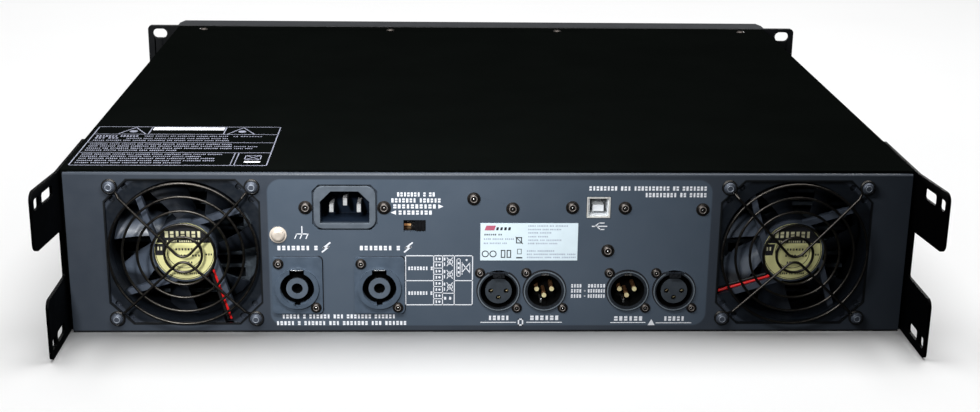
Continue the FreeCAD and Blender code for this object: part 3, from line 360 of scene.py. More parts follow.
# painted shade: the pins darken deep inside their shells
paint_recess_shade(pin_gold, PANEL_Y - 2.0 * MM, 1.1 * MM, (0.17, 0.085, 0.04))
usb_metal = half_metal("usb_metal", (0.93, 0.89, 0.84), 0.35, 0.35)
usb_plastic = plastic("usb_plastic", (0.78, 0.80, 0.82), 0.35, 0.03)
label_film = plastic("label_film", (0.80, 0.92, 0.98), 0.4, 0.02)
hub_paper = plastic("hub_paper", (0.84, 0.80, 0.38), 0.45, 0.04)
board_green = plastic("board_green", (0.015, 0.12, 0.05), 0.3)
brass = metal("standoff_brass", (0.70, 0.52, 0.22), 0.3)
sink_metal = metal("heat_sink", (0.30, 0.36, 0.42), 0.42, (1, 0.05, 1))
transistor_plastic = plastic("transistor_plastic", (0.015, 0.015, 0.016), 0.4)
toroid_tape = plastic("toroid_wrap", (0.50, 0.36, 0.08), 0.35, 0.2)
can_sleeve = plastic("can_sleeve", (0.012, 0.020, 0.060), 0.25)
rocker_plastic = plastic("rocker_plastic", (0.008, 0.008, 0.009), 0.28)
knob_plastic = plastic("knob_plastic", (0.02, 0.02, 0.022), 0.45)
lead_red = plastic("lead_red", (0.90, 0.02, 0.02), 0.35)
lead_black = plastic("lead_black", (0.012, 0.012, 0.012), 0.35)
lamp = plastic("lamp_lens", (0.35, 0.65, 0.40), 0.2, Transmission_Weight=0.6)

# materials of the fittings and inks made below
glint_metal = metal("glint_metal", (0.95, 0.93, 0.90), 0.25)
ring_metal = half_metal("ring_metal", (0.24, 0.21, 0.19), 0.4, 0.3)
crown_metal = half_metal("crown_metal", (0.30, 0.33, 0.38), 0.4, 0.3)
glowing_lift_metal = half_metal("glowing_lift_metal", (1.0, 0.62, 0.30), 0.3, 0.2)
# painted light: a faint orange glow makes the contact show bright deep in the dark slot
glowing_lift_metal.bsdf.inputs["Emission Color"].default_value = (1.0, 0.45, 0.18, 1)
glowing_lift_metal.bsdf.inputs["Emission Strength"].default_value = 0.22
ink_white = plastic("ink_white", (0.90, 0.91, 0.95), 0.5, 0.03)
ink_cream = plastic("ink_cream", (0.74, 0.70, 0.44), 0.5, 0.03)
# black for the printed marks and for the painted shadow lines round the sockets
ink_and_shadow_black = plastic("ink_and_shadow_black", (0.012, 0.012, 0.016), 0.5, 0.05)
ink_pale = plastic("ink_pale", (0.36, 0.40, 0.50), 0.5, 0.05)
ink_red = plastic("ink_red", (0.55, 0.13, 0.20), 0.5, 0.05)
ink_cover = plastic("ink_cover", (0.26, 0.27, 0.34), 0.55, 0.2)

dress(["rear_panel"], panel_paint)
dress(["base_chassis", "top_cover"], cover_paint)
dress(["rear_bracket_left", "rear_bracket_right"], bracket_paint)
dress(["front_plate"], front_paint)
dress(["front_bezel"], bezel_plastic)
dress(["grille_left", "grille_right"], grille_steel)
dress(["air_filter_left", "air_filter_right"], filter_foam)
dress(["bracket_screws", "top_cover_screws", "rear_panel_screws", "speaker_screws", "xlr_screws",
       "mains_inlet_screws"], black_screw)
dress(["fan_screws"], fan_screw)
dress(["ground_screw"], bright_screw)
dress(["fan_frame_left", "fan_frame_right"], fan_plastic)
dress(["fan_rotor_left", "fan_rotor_right"], rotor_plastic)
dress(["fan_guard_left", "fan_guard_right"], guard_metal)
dress(["mains_inlet"], inlet_plastic)
dress(["ground_switch_body"], switch_plastic)
dress(["mains_inlet_blades", "transformer_clamp", "gain_pots"], contact_metal)
dress(["ground_switch_slider"], lever_plastic)
dress(["speaker_sockets"], speaker_plastic)
dress(["speaker_cores"], core_plastic)
dress(["xlr_input_shells", "xlr_output_a", "xlr_output_b"], xlr_shell)
dress(["xlr_input_inserts"], xlr_insert)
dress(["xlr_latch_a", "xlr_latch_b"], latch_metal)
dress(["xlr_pins"], pin_gold)
dress(["usb_port"], usb_metal)
dress(["usb_tongue"], usb_plastic)
dress(["rating_label"], label_film)
dress(["fan_hub_labels"], hub_paper)
dress(["input_board", "amplifier_board", "front_board"], board_green)
dress(["board_standoffs"], brass)
dress(["heat_sink_left", "heat_sink_right"], sink_metal)
dress(["output_transistors"], transistor_plastic)
dress(["transformer"], toroid_tape)
dress(["reservoir_capacitors"], can_sleeve)
dress(["power_switch_frame", "power_rocker"], rocker_plastic)
dress(["gain_knob_a", "gain_knob_b"], knob_plastic)
dress(["lamp_lenses"], lamp)
dress(["fan_lead_red"], lead_red)
dress(["fan_lead_black"], lead_black)

# small rounded edges catch the light on folded sheet and moulded pieces
BEVELS = {
    "rear_bracket_left": 0.35, "rear_bracket_right": 0.35, "top_cover": 0.4, "front_plate": 0.4,
    "mains_inlet": 0.3, "speaker_sockets": 0.3, "speaker_cores": 0.25,
    "rear_panel": 0.25, "power_rocker": 0.5, "gain_knob_a": 0.4, "gain_knob_b": 0.4,
}
for name, width in BEVELS.items():
    weld = nodes[name].modifiers.new("Weld", "WELD")
    weld.merge_threshold = 0.00001
    bevel = nodes[name].modifiers.new("Edge", "BEVEL")
    bevel.width = width * MM
    bevel.segments = 2
    bevel.limit_method = "ANGLE"
    bevel.angle_limit = math.radians(40)
    bevel.harden_normals = True


# ---------------------------------------------------------------- printed marks


def on_panel(x, z, lift):
    return Vector((x * MM, PANEL_Y + lift * MM, z * MM))


def on_label(x, z, lift):
    return on_panel(x, z, lift + 0.2)


def on_cover(x, y, lift):
    return Vector((x * MM, y * MM, COVER_Z + lift * MM))


def on_shell(x, z, lift):
    return on_panel(x, z, lift + 1.2)


def on_hub(x, z, lift):
    return on_panel(x, z, lift - 2.2)


class Gathered:
    """Closed solids gathered into one mesh, a piece that rides the chassis."""

    def __init__(self, name, look, slot):
        self.name = name
        self.look = look
        self.slot = slot
        self.build = bmesh.new()

    def finish(self, smooth=False):
        bmesh.ops.recalc_face_normals(self.build, faces=self.build.faces)
        mesh = bpy.data.meshes.new(self.name)
        self.build.to_mesh(mesh)
        self.build.free()
        if smooth:
            for face in mesh.polygons:
                face.use_smooth = True
        piece = bpy.data.objects.new(self.name, mesh)
        scene.collection.objects.link(piece)
        dress([piece], self.look)
        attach(piece, "body")


class Print(Gathered):
    """Flat marks: every mark is a thin closed slab of ink on a surface."""

    def __init__(self, name, seat, look, slot, thick=0.05):
        super().__init__(name, look, slot)
        self.seat = seat
        self.thick = thick

    def shape(self, points):
        """A convex outline, in millimetres on the surface."""
        low = [self.build.verts.new(self.seat(u, v, -0.01)) for u, v in points]
        high = [self.build.verts.new(self.seat(u, v, self.thick)) for u, v in points]
        self.build.faces.new(low[::-1])
        self.build.faces.new(high)
        count = len(points)
        for index in range(count):
            after = (index + 1) % count
            self.build.faces.new((low[index], low[after], high[after], high[index]))

    def bar(self, u, v, wide, tall):
        self.shape([
            (u - wide / 2, v - tall / 2), (u + wide / 2, v - tall / 2),
            (u + wide / 2, v + tall / 2), (u - wide / 2, v + tall / 2),
        ])

    def line(self, points, width=0.4):
        for (u0, v0), (u1, v1) in zip(points, points[1:]):
            long = math.hypot(u1 - u0, v1 - v0)
            a, b = (u1 - u0) / long * width / 2, (v1 - v0) / long * width / 2
            self.shape([
                (u0 - a + b, v0 - b - a), (u1 + a + b, v1 + b - a),
                (u1 + a - b, v1 + b + a), (u0 - a - b, v0 - b + a),
            ])

    def frame(self, u0, v0, u1, v1, width=0.4):
        self.line([(u0, v0), (u1, v0), (u1, v1), (u0, v1), (u0, v0)], width)

    def disc(self, u, v, radius, sides=20):
        turns = [2 * math.pi * k / sides for k in range(sides)]
        self.shape([(u + radius * math.cos(t), v + radius * math.sin(t)) for t in turns])

    def ring(self, u, v, radius, width, start=0.0, stop=360.0, steps=40):
        inner, outer = radius - width / 2, radius + width / 2
        turns = [math.radians(start + (stop - start) * k / steps) for k in range(steps + 1)]
        for t0, t1 in zip(turns, turns[1:]):
            corners = []
            for t, r in ((t0, inner), (t1, inner), (t1, outer), (t0, outer)):
                corners.append((u + r * math.cos(t), v + r * math.sin(t)))
            self.shape(corners)

    def words(self, u0, u1, v, tall, lengths):
        """Stand-ins for words: plain blocks of ink, some split in two, grouped into words."""
        space = 0.7
        total = sum(lengths) + space * (len(lengths) - 1)
        pitch = (u1 - u0) / total
        u = u0
        count = 0
        for length in lengths:
            for _ in range(length):
                count += 1
                middle = u + pitch / 2
                kind = (count * 7 + length * 3) % 4
                wide = abs(pitch) * (0.62, 0.7, 0.5, 0.66)[kind]
                if kind % 2:
                    self.bar(middle, v + tall * 0.28, wide, tall * 0.42)
                    self.bar(middle, v - tall * 0.28, wide, tall * 0.42)
                else:
                    self.bar(middle, v, wide, tall)
                u += pitch
            u += space * pitch


marks = Print("panel_print", on_panel, ink_white, "panel_paint")

# switch legend, with an arrow each way
marks.words(48.6, 28.8, 75.4, 2.2, (7, 1, 2))
marks.words(51.6, 25.9, 72.2, 2.2, (7, 6))
marks.words(50.6, 28.2, 69.0, 2.2, (10,))
marks.shape([(27.3, 70.2), (27.3, 67.8), (24.7, 69.0)])
marks.words(47.9, 30.2, 65.7, 2.2, (8,))
marks.shape([(48.9, 66.9), (51.6, 65.7), (48.9, 64.5)])

# chassis ground mark
marks.line([(97.0, 58.1), (97.0, 54.1)], 0.5)
marks.line([(99.8, 54.1), (93.8, 54.1)], 0.5)
for u in (99.7, 97.0, 94.0):
    marks.line([(u, 54.1), (u + 1.0, 51.7)], 0.5)

# socket legends, each with a zigzag
for shift in (0.0, 42.2):
    marks.words(110.2 - shift, 88.8 - shift, 46.5, 2.4, (7, 1))
    zigzag = ((82.9, 49.3), (86.2, 46.6), (83.6, 47.1), (86.8, 44.4))
    marks.line([(u - shift, v) for u, v in zigzag], 0.75)
marks.words(108.5, 49.4, 8.7, 2.2, (5, 1, 6, 3, 7, 6))
marks.words(111.6, 43.6, 5.0, 2.2, (5, 1, 6, 3, 7, 3, 6))

# wiring table: a column of eight rows and three larger cells beside it
TABLE_TOP = 42.3
TABLE_FOOT = 15.2
ROW = 3.39
marks.frame(44.1, TABLE_TOP, 9.5, TABLE_FOOT, 0.5)
marks.line([(44.1, 28.6), (29.6, 28.6)], 0.45)
marks.line([(18.9, 28.6), (9.5, 28.6)], 0.45)
for u in (29.6, 25.0, 18.9):
    marks.line([(u, TABLE_TOP), (u, TABLE_FOOT)], 0.45)
marks.words(43.0, 29.9, 35.4, 1.9, (7, 1))
marks.words(43.0, 30.0, 21.7, 1.9, (7, 1))
for step in range(1, 8):
    marks.line([(29.6, TABLE_TOP - step * ROW), (25.0, TABLE_TOP - step * ROW)], 0.4)
for step in range(8):
    level = TABLE_TOP - (step + 0.5) * ROW
    marks.bar(28.2, level, 0.7, 1.5)
    marks.disc(26.6, level, 0.62, 10)
for step in range(3):
    top = 41.7 - step * 6.9
    marks.bar(24.0, top - 1.2, 0.8, 1.6)
    marks.bar(24.0, top - 4.0, 0.5, 1.9)
    marks.line([(22.7, top - 0.5), (19.9, top - 4.9)], 0.4)
    marks.line([(19.9, top - 0.5), (22.7, top - 4.9)], 0.4)
    marks.ring(21.1, top - 2.7, 1.3, 0.35, steps=16)
marks.line([(25.0, 21.6), (18.9, 21.6)], 0.4)
marks.bar(23.6, 18.8, 1.1, 1.5)
marks.bar(21.0, 18.8, 1.1, 1.5)
marks.frame(17.6, 40.6, 15.9, 31.0, 0.35)
for level in (33.2, 35.7, 38.2):
    marks.bar(16.7, level, 0.9, 1.2)
marks.line([(14.9, 38.6), (14.9, 32.0)], 0.35)
marks.line([(14.9, 38.2), (10.9, 33.0)], 0.45)
marks.line([(14.9, 33.2), (10.9, 38.4)], 0.45)
marks.line([(10.9, 38.4), (10.9, 33.0)], 0.35)
marks.disc(12.6, 40.0, 0.55, 10)

# plain branching line below the square port
marks.line([(-52.0, 58.4), (-59.4, 58.4)], 0.55)
marks.line([(-53.4, 58.4), (-55.4, 60.2), (-58.0, 60.2)], 0.5)
marks.line([(-54.4, 58.4), (-56.0, 56.7), (-58.0, 56.7)], 0.5)

# pin list and the signal legends
for level, lengths in ((25.7, (4, 6)), (22.9, (4, 7)), (20.0, (4, 7))):
    marks.words(-41.8, -47.6, level, 1.9, lengths[:1])
    marks.words(-50.6, -60.0, level, 1.9, lengths[1:])
marks.bar(-49.2, 22.9, 0.8, 0.45)
marks.bar(-49.2, 22.9, 0.45, 0.8)
marks.bar(-49.2, 20.0, 0.8, 0.45)
marks.words(1.2, -10.1, 7.8, 2.5, (5,))
marks.words(-20.6, -36.2, 7.8, 2.5, (6,))
marks.words(-64.8, -80.4, 7.4, 2.5, (6,))
marks.words(-91.1, -102.5, 7.3, 2.5, (5,))
for u0, u1, v in ((4.9, -13.4, 5.3), (-19.2, -37.5, 5.3), (-63.4, -81.6, 5.1), (-87.4, -105.9, 4.9)):
    marks.line([(u0, v), (u1, v)], 0.42)
marks.frame(-14.9, 7.0, -17.0, 3.8, 0.7)
marks.shape([(-83.0, 3.6), (-86.7, 3.6), (-84.85, 7.0)])

# maker's legend at the top corner
marks.words(-49.5, -110.4, 78.8, 2.3, (8, 3, 10, 2, 7))
marks.words(-78.4, -110.4, 75.3, 2.3, (9, 2, 5))
marks.finish()

# painted shadow: dark lines on the panel round the sockets, where they meet it, widest on the -X side and
# below each speaker flange
socket_shadows = Print("socket_shadow_lines", on_panel, ink_and_shadow_black, "panel_paint", 0.03)
for middle in SPEAKER_X:
    low_u, high_u = middle - FLANGE_HALF[0], middle + FLANGE_HALF[0]
    low_v, high_v = SPEAKER_Z - FLANGE_HALF[1], SPEAKER_Z + FLANGE_HALF[1]
    socket_shadows.line([(low_u - 0.1, high_v - 2.4), (low_u - 0.1, low_v + 2.2)], 0.7)
    socket_shadows.line([(low_u + 2.2, low_v - 0.1), (high_u - 2.4, low_v - 0.1)], 0.5)
    socket_shadows.ring(low_u + 2.3, low_v + 2.3, 2.5, 0.7, 180, 270, 8)
    socket_shadows.ring(low_u + 2.3, high_v - 2.3, 2.5, 0.5, 90, 180, 8)
    socket_shadows.line([(low_u + 2.2, high_v + 0.05), (high_u - 2.4, high_v + 0.05)], 0.3)
# pale rings on the shell faces, a painted highlight along the rim of each mouth
rim_highlights = Print("xlr_shell_rim_highlights", on_shell, rim_highlight_plastic, "xlr_shell", 0.06)
for middle in INPUT_X + OUTPUT_X:
    # the rings of the two inputs stop short of their latches
    start, stop = (118, 422) if middle in INPUT_X else (0, 360)
    socket_shadows.ring(middle, AUDIO_Z, AUDIO_RADIUS + 0.15, 0.75, start, stop, 48)
    rim_highlights.ring(middle, AUDIO_Z, AUDIO_RADIUS - 0.45, 0.6, start, stop, 48)
socket_shadows.finish()
rim_highlights.finish()

# ---------------------------------------------------------------- label print

band = Print("label_band", on_label, ink_red, "label_film", 0.03)
band.shape([(3.6, 56.2), (2.6, 58.8), (-2.3, 58.8), (-1.5, 56.2)])
band.finish()
dark = Print("label_marks", on_label, ink_and_shadow_black, "label_film", 0.03)
for k in range(4):
    u = -2.4 - 2.05 * k
    dark.shape([(u, 56.3), (u - 0.3, 57.9), (u - 1.5, 57.9), (u - 1.2, 56.3)])
dark.words(3.8, -5.6, 53.9, 0.8, (6, 2))
for u in (3.0, -1.0):
    dark.ring(u, 43.4, 1.6, 0.5, 0, 360, 20)
for u in (-6.2, -9.2):
    dark.frame(u + 0.9, 45.3, u - 0.9, 41.5, 0.5)
dark.frame(-13.0, 52.3, -15.6, 49.4, 0.5)
dark.line([(-12.6, 52.6), (-16.2, 49.0)], 0.4)
dark.bar(-14.6, 41.3, 3.2, 0.7)
dark.frame(-13.6, 46.0, -15.6, 43.4, 0.3)
dark.finish()
faint = Print("label_lines", on_label, ink_pale, "label_film", 0.03)
for u0, u1, v, lengths in (
    (4.0, -11.8, 51.5, (4, 6, 5)), (4.0, -8.1, 49.2, (3, 7, 3)),
    (-18.8, -39.5, 58.6, (5, 7, 3, 8)), (-18.8, -36.1, 56.7, (8, 4, 7)), (-18.9, -31.0, 54.9, (6, 7)),
    (-18.9, -29.3, 52.8, (5, 6)), (-19.0, -36.3, 50.9, (6, 3, 9)), (-18.8, -34.3, 49.1, (4, 7, 5)),
    (-18.3, -32.7, 45.0, (5, 9)), (-18.4, -43.9, 43.2, (3, 8, 9, 5)), (-18.4, -44.0, 41.5, (9, 4, 4, 8)),
):
    faint.words(u0, u1, v, 0.75, lengths)
faint.finish()

# ---------------------------------------------------------------- fan hub print

hub_dark = Print("hub_print_dark", on_hub, ink_and_shadow_black, "hub_label", 0.04)
hub_light = Print("hub_print_light", on_hub, ink_cream, "hub_label", 0.07)
# a dark cap over the upper part of each round label and a dark patch on its +X side
cap_radius = 15.2
cap_start = 18
cap_sweep = 144
cap_steps = 24
cap_turns = [math.radians(cap_start + cap_sweep * k / cap_steps) for k in range(cap_steps + 1)]
patch = ((15.0, 4.2), (9.4, 4.2), (10.4, -2.0), (15.0, -2.0))
level = FAN_Z
for middle in (FAN_X, -FAN_X):
    cap = [(middle + cap_radius * math.cos(t), level + cap_radius * math.sin(t)) for t in cap_turns]
    hub_dark.shape(cap)
    hub_dark.shape([(middle + u, level + v) for u, v in patch])
    hub_dark.ring(middle, level, 14.9, 0.3)
    hub_dark.ring(middle, level, 9.0, 0.3)
    hub_dark.words(middle + 6, middle - 7, level - 12.0, 1.0, (4, 2, 5))
    hub_dark.words(middle + 5, middle - 6, level + 1.2, 1.1, (7,))
    hub_dark.words(middle + 4, middle - 8, level - 2.2, 1.1, (4, 3))
    hub_dark.words(middle + 3, middle - 4, level - 6.0, 1.1, (5,))
    hub_dark.words(middle - 10.4, middle - 14.2, level - 1.6, 1.0, (3,))
    hub_light.words(middle + 10.2, middle - 9.0, level + 9.3, 3.4, (7,))
    hub_light.words(middle + 9.0, middle - 8.0, level + 5.6, 1.0, (5, 6, 3))
    for u in (13.4, 11.8):
        hub_light.bar(middle + u, level + 1.6, 0.8, 2.0)
hub_dark.finish()
hub_light.finish()

# ---------------------------------------------------------------- cover print

SHEET_LEFT = 215.0
SHEET_RIGHT = 115.0
SHEET_BACK = 182.4
plate = Print("cover_print", on_cover, ink_cover, "cover_paint", 0.04)
plate.frame(SHEET_LEFT, 105.7, SHEET_RIGHT, SHEET_BACK, 0.55)
for v in (121.5, 138.6, 158.5):
    plate.line([(SHEET_LEFT, v), (SHEET_RIGHT, v)], 0.5)
plate.line([(133.6, 158.5), (133.6, SHEET_BACK)], 0.45)
plate.line([(131.6, 158.5), (131.6, SHEET_BACK)], 0.45)
for u in (194.6, 135.3):
    plate.line([(u + 7.6, 121.3), (u, 107.0), (u - 7.6, 121.3)], 0.6)
for u in (194.6, 135.2):
    plate.disc(u, 115.4, 2.2)
plate.line([(185.6, 121.3), (185.6, 107.0)], 0.6)
plate.line([(144.8, 121.3), (144.8, 107.0)], 0.6)
for v, u0, u1, tall, lengths in (
    (125.6, 213.0, 190.0, 2.6, (7, 6)), (125.6, 187.0, 141.5, 1.4, (5, 7, 3, 9, 6, 4, 5)),
    (129.6, 213.0, 200.0, 2.2, (3, 3)), (130.2, 196.0, 141.0, 1.4, (8, 5, 6, 9, 4, 7, 5, 3)),
    (134.4, 213.0, 140.0, 1.5, (6, 8, 4, 7, 9, 3, 6, 8, 5, 7)),
    (125.8, 139.0, 123.0, 1.0, (2, 8)),
    (142.0, 213.0, 137.5, 1.6, (9, 5, 7, 3, 8, 6, 9, 4, 7, 5)),
    (146.0, 213.0, 137.0, 1.6, (5, 8, 6, 9, 3, 7, 8, 4, 6, 9)),
    (150.2, 213.0, 136.4, 1.6, (7, 3, 9, 6, 8, 5, 4, 9, 7, 6)),
    (154.2, 213.0, 165.0, 1.6, (8, 6, 9, 4, 7, 5)),
    (146.4, 136.0, 123.2, 1.2, (6, 5)), (150.2, 135.6, 125.6, 1.2, (5, 4)),
    (161.8, 213.0, 140.0, 1.5, (6, 9, 7, 4, 8, 6, 9, 5, 7, 8)),
    (165.8, 213.0, 150.4, 1.5, (9, 5, 8, 7, 4, 9, 6, 8)),
    (169.8, 213.0, 143.0, 1.5, (4, 8, 6, 9, 7, 5, 9, 6, 7)),
    (173.8, 213.0, 142.4, 1.5, (8, 6, 4, 9, 7, 8, 5, 9, 6)),
    (177.8, 213.0, 159.0, 1.5, (7, 9, 5, 8, 6, 4, 9)),
):
    plate.words(u0, u1, v, tall, lengths)
plate.frame(127.4, 163.8, 119.4, 171.4, 0.5)
plate.line([(127.0, 164.0), (119.8, 171.2)], 0.5)
plate.line([(119.8, 164.0), (127.0, 171.2)], 0.5)
plate.finish()
bright = Print("cover_print_bright", on_cover, ink_white, "cover_paint", 0.06)
bright.shape([(184.6, 107.0), (145.6, 107.0), (145.6, 112.6), (184.6, 112.6)])
bright.bar(123.0, 175.7, 8.2, 2.4)
bright.finish()

# ---------------------------------------------------------------- small fittings


def islands(name):
    """The boxes round the separate solids of a CAD node, in millimetres."""
    mesh = nodes[name].data
    parent = list(range(len(mesh.vertices)))

    def root(i):
        while parent[i] != i:
            parent[i] = parent[parent[i]]
            i = parent[i]
        return i

    spots = {}
    for index, vertex in enumerate(mesh.vertices):
        # doubled vertices at the same hundredth of a millimetre are one
        key = tuple(round(c * 1e5) for c in vertex.co)
        first = spots.setdefault(key, index)
        parent[root(index)] = root(first)
    for edge in mesh.edges:
        a, b = edge.vertices
        parent[root(a)] = root(b)
    groups = {}
    for index, vertex in enumerate(mesh.vertices):
        groups.setdefault(root(index), []).append(vertex.co / MM)
    found = []
    for points in groups.values():
        low = Vector([min(p[k] for p in points) for k in range(3)])
        high = Vector([max(p[k] for p in points) for k in range(3)])
        found.append((low, high))
    return found


class Fitting(Gathered):
    """Small turned and square solids, sized and placed in millimetres."""

    def circle(self, x, y, z, radius, sides):
        """New vertices on a circle about a line along Y."""
        turns = [2 * math.pi * k / sides for k in range(sides)]
        spots = [Vector((x + radius * math.cos(t), y, z + radius * math.sin(t))) for t in turns]
        return [self.build.verts.new(spot * MM) for spot in spots]

    def lathe(self, x, z, profile, sides=20):
        """A closed turned solid about a line along Y; the profile is (radius, y) from axis to axis."""
        rings = []
        for radius, y in profile:
            if radius < 1e-6:
                rings.append([self.build.verts.new(Vector((x, y, z)) * MM)])
            else:
                rings.append(self.circle(x, y, z, radius, sides))
        for first, second in zip(rings, rings[1:]):
            for k in range(sides):
                after = (k + 1) % sides
                corners = []
                for ring, index in ((first, k), (first, after), (second, after), (second, k)):
                    vert = ring[index] if len(ring) > 1 else ring[0]
                    if vert not in corners:
                        corners.append(vert)
                self.build.faces.new(corners)

    def tube(self, x, z, outer, inner, y0, y1, sides=20):
        """A closed tube along Y."""
        profile = ((outer, y0), (outer, y1), (inner, y1), (inner, y0))
        rings = [self.circle(x, y, z, radius, sides) for radius, y in profile]
        for first, second in zip(rings, rings[1:] + rings[:1]):
            for k in range(sides):
                after = (k + 1) % sides
                self.build.faces.new((first[k], first[after], second[after], second[k]))

    def block(self, low, high, cut=0.12):
        """A box whose edges facing +Y are bevelled by cut."""
        x0, y0, z0 = low
        x1, y1, z1 = high
        layers = []
        for y, inset in ((y0, 0.0), (y1 - cut, 0.0), (y1, cut)):
            left, right = x0 + inset, x1 - inset
            foot, top = z0 + inset, z1 - inset
            outline = ((left, y, foot), (right, y, foot), (right, y, top), (left, y, top))
            layers.append([self.build.verts.new(Vector(spot) * MM) for spot in outline])
        self.build.faces.new(layers[0])
        self.build.faces.new(layers[-1][::-1])
        for first, second in zip(layers, layers[1:]):
            for k in range(4):
                after = (k + 1) % 4
                self.build.faces.new((first[k], first[after], second[after], second[k]))


# a metal rim in the drive recess of each panel screw, and a bright centre dome there, a painted highlight
# for the reflection in the recess
RECESS_DEPTH = 0.9
GLINT_PROFILE = ((0, 0), (0.62, 0), (0.6, 0.25), (0.38, 0.5), (0, 0.6))
recess_rims = Fitting("screw_recess_rims", ring_metal, "bright_screw")
recess_glints = Fitting("screw_recess_glints", glint_metal, "bright_screw")
for name in ("rear_panel_screws", "speaker_screws", "xlr_screws", "mains_inlet_screws"):
    for low, high in islands(name):
        x, z = (low.x + high.x) / 2, (low.z + high.z) / 2
        base = high.y - RECESS_DEPTH
        reach = (high.x - low.x) / 2
        recess_rims.tube(x, z, reach * 0.56, reach * 0.42, high.y - 0.5, high.y + 0.03, 20)
        recess_glints.lathe(x, z - 0.1, [(radius, base + rise) for radius, rise in GLINT_PROFILE], 14)
recess_glints.finish(True)
recess_rims.finish(True)

# a dark washer round each fan screw and a pale ring on its crown
washers = Fitting("fan_screw_washers", lead_black, "bright_screw")
crowns = Fitting("fan_screw_crowns", crown_metal, "bright_screw")
for low, high in islands("fan_screws"):
    x, z = (low.x + high.x) / 2, (low.z + high.z) / 2
    washers.tube(x, z, 3.75, 3.1, high.y - 2.0, high.y - 1.45, 28)
    crowns.tube(x, z, 1.75, 1.25, high.y - 0.35, high.y + 0.03, 24)
washers.finish(True)
crowns.finish(True)

# three sleeves inside each input; a blade below and a bar above the pins of each output
PIN_SPOTS = ((-4.0, 0.0), (4.0, 0.0), (0.0, -3.7))
contacts = Fitting("xlr_socket_contacts", pin_gold, "pin_gold")
for middle in INPUT_X:
    for dx, dz in PIN_SPOTS:
        contacts.tube(middle + dx, AUDIO_Z + dz, 1.3, 1.0, 183.0, 188.6, 16)
contacts.finish(True)
keys = Fitting("xlr_ground_tongues", glint_metal, "pin_gold")
for middle in OUTPUT_X:
    keys.block((middle + 1.1, 179.0, 15.7), (middle + 2.1, 189.4, 17.6))
    keys.block((middle - 2.1, 184.0, 31.65), (middle + 2.1, 191.9, 32.75))
keys.finish()

# a copper contact on the floor of the ground switch's slot, with a faint painted glow
lift_contact = Fitting("ground_switch_contact", glowing_lift_metal, "contact_metal")
lift_contact.block((41.4, 182.02, 55.75), (44.9, 182.14, 56.9), 0.03)
lift_contact.finish()

# a bright bar in the notch above each speaker core, a painted highlight on the notch's rim
notch_highlights = Fitting("speaker_notch_highlights", glint_metal, "contact_metal")
for middle in SPEAKER_X:
    notch_highlights.block((middle - 3.0, 193.6, 34.9), (middle + 3.0, 194.25, 35.5), 0.1)
notch_highlights.finish()

# pale back, sides and floor just inside the shell of the square port
PORT_LOW, PORT_HIGH = corners_of("usb_port")
PORT_SHELL = 0.7
left, right = PORT_LOW.x + PORT_SHELL, PORT_HIGH.x - PORT_SHELL
foot, top = PORT_LOW.z + PORT_SHELL, PORT_HIGH.z - PORT_SHELL
front = PORT_HIGH.y - 1.0
usb_liner = Fitting("usb_port_liner", usb_plastic, "usb_plastic")
usb_liner.block((left, 176.6, foot), (right, 177.4, top))
usb_liner.block((left, 177.5, foot), (left + 0.7, front, top))
usb_liner.block((right - 0.7, 177.5, foot), (right, front, top))
usb_liner.block((left + 0.8, 177.5, foot), (right - 0.8, front, foot + 0.6))
usb_liner.finish()


# ---------------------------------------------------------------- camera

CAMERA_PLACE = Vector((0.03027, 0.92702, 0.30419))
LENS_TURNS = (-0.3087, -0.0137, -0.0399)
LENS_MM = 55.55

pitch, roll, yaw = LENS_TURNS
seat = Matrix.Rotation(yaw, 3, "Z") @ Matrix.Rotation(pitch, 3, "X") @ Matrix.Rotation(roll, 3, "Y")
# the lens was levelled in a frame that looks along +Y; the part is seen from its rear, half a turn round
seat = Matrix.Rotation(math.pi, 3, "Z") @ seat
basis = Matrix((seat.col[0], seat.col[2], -seat.col[1])).transposed()
camera = bpy.data.objects.new("Camera", bpy.data.cameras.new("Camera"))
scene.collection.objects.link(camera)
camera.matrix_world = Matrix.Translation(CAMERA_PLACE) @ basis.to_4x4()
camera.data.sensor_width = 36.0
camera.data.lens = LENS_MM
camera.data.clip_start = 0.02
scene.camera = camera

# ---------------------------------------------------------------- studio


def hang(name, data, place, target, power, color):
    """Put a light at a place, pointing at a target."""
    data.energy = power
    data.color = color
    lamp_object = bpy.data.objects.new(name, data)
    scene.collection.objects.link(lamp_object)
    lamp_object.location = place
    aim = Vector(target) - Vector(place)
    lamp_object.rotation_euler = aim.to_track_quat("-Z", "Y").to_euler()
    return lamp_object


def area_light(name, place, target, wide, tall, power, color=(1, 1, 1)):
    data = bpy.data.lights.new(name, "AREA")
    data.shape = "RECTANGLE"
    data.size = wide
    data.size_y = tall
    return hang(name, data, place, target, power, color)


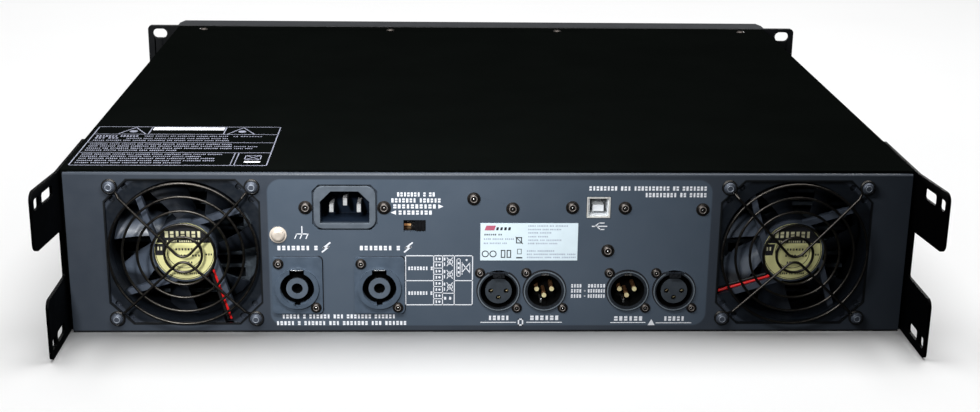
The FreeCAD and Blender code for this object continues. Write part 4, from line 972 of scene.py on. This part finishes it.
def spot_light(name, place, target, angle, blend, power, size, color):
    data = bpy.data.lights.new(name, "SPOT")
    data.spot_size = math.radians(angle)
    data.spot_blend = blend
    data.shadow_soft_size = size
    return hang(name, data, place, target, power, color)


floor_mesh = bpy.data.meshes.new("studio_floor")
floor_build = bmesh.new()
bmesh.ops.create_grid(floor_build, x_segments=8, y_segments=8, size=6.0)
floor_build.to_mesh(floor_mesh)
floor_build.free()
floor = bpy.data.objects.new("studio_floor", floor_mesh)
scene.collection.objects.link(floor)
floor_look = Look("floor_white", (0.86, 0.86, 0.86), 0.9)
floor_look.tint(300 * MM, 0.01)
floor_mesh.materials.append(floor_look.mat)
floor.visible_diffuse = False
floor.visible_glossy = False

world = bpy.data.worlds.new("Studio")
scene.world = world
world.use_nodes = True
world.node_tree.nodes["Background"].inputs["Color"].default_value = (0.9, 0.95, 1.0, 1)
world.node_tree.nodes["Background"].inputs["Strength"].default_value = 0.03

area_light("overhead", (0.0, -0.55, 2.2), (0.0, -0.55, 0.0), 2.6, 1.5, 70)
floor_light = area_light("floor_front", (0.0, 1.5, 0.9), (0.0, 0.0, 0.0), 2.4, 0.5, 11)
floor_only = bpy.data.collections.new("floor_light_receivers")
floor_only.objects.link(floor)
floor_light.light_linking.receiver_collection = floor_only
key_lights = [
    spot_light("key", (0.34, 1.42, 0.74), (0.105, 0.19, 0.06), 23, 1.0, 62, 0.09, (0.97, 0.985, 1.0)),
    area_light("strip", (0.10, 0.34, 0.27), (0.09, 0.19, 0.06), 0.26, 0.05, 0.9, (0.95, 0.98, 1.0)),
    area_light("front_fill_left", (-1.3, -1.7, 0.24), (0.0, -0.2, 0.04), 0.9, 0.3, 20),
    area_light("front_fill_right", (1.3, -1.7, 0.24), (0.0, -0.2, 0.04), 0.9, 0.3, 20),
]
# the panel lights leave the floor to the overhead, so the shadow round the case stays
no_floor = bpy.data.collections.new("panel_light_exclusions")
no_floor.objects.link(floor)
for item in no_floor.collection_objects:
    item.light_linking.link_state = "EXCLUDE"
for lamp_object in key_lights:
    lamp_object.light_linking.receiver_collection = no_floor

scene.view_settings.view_transform = "Standard"
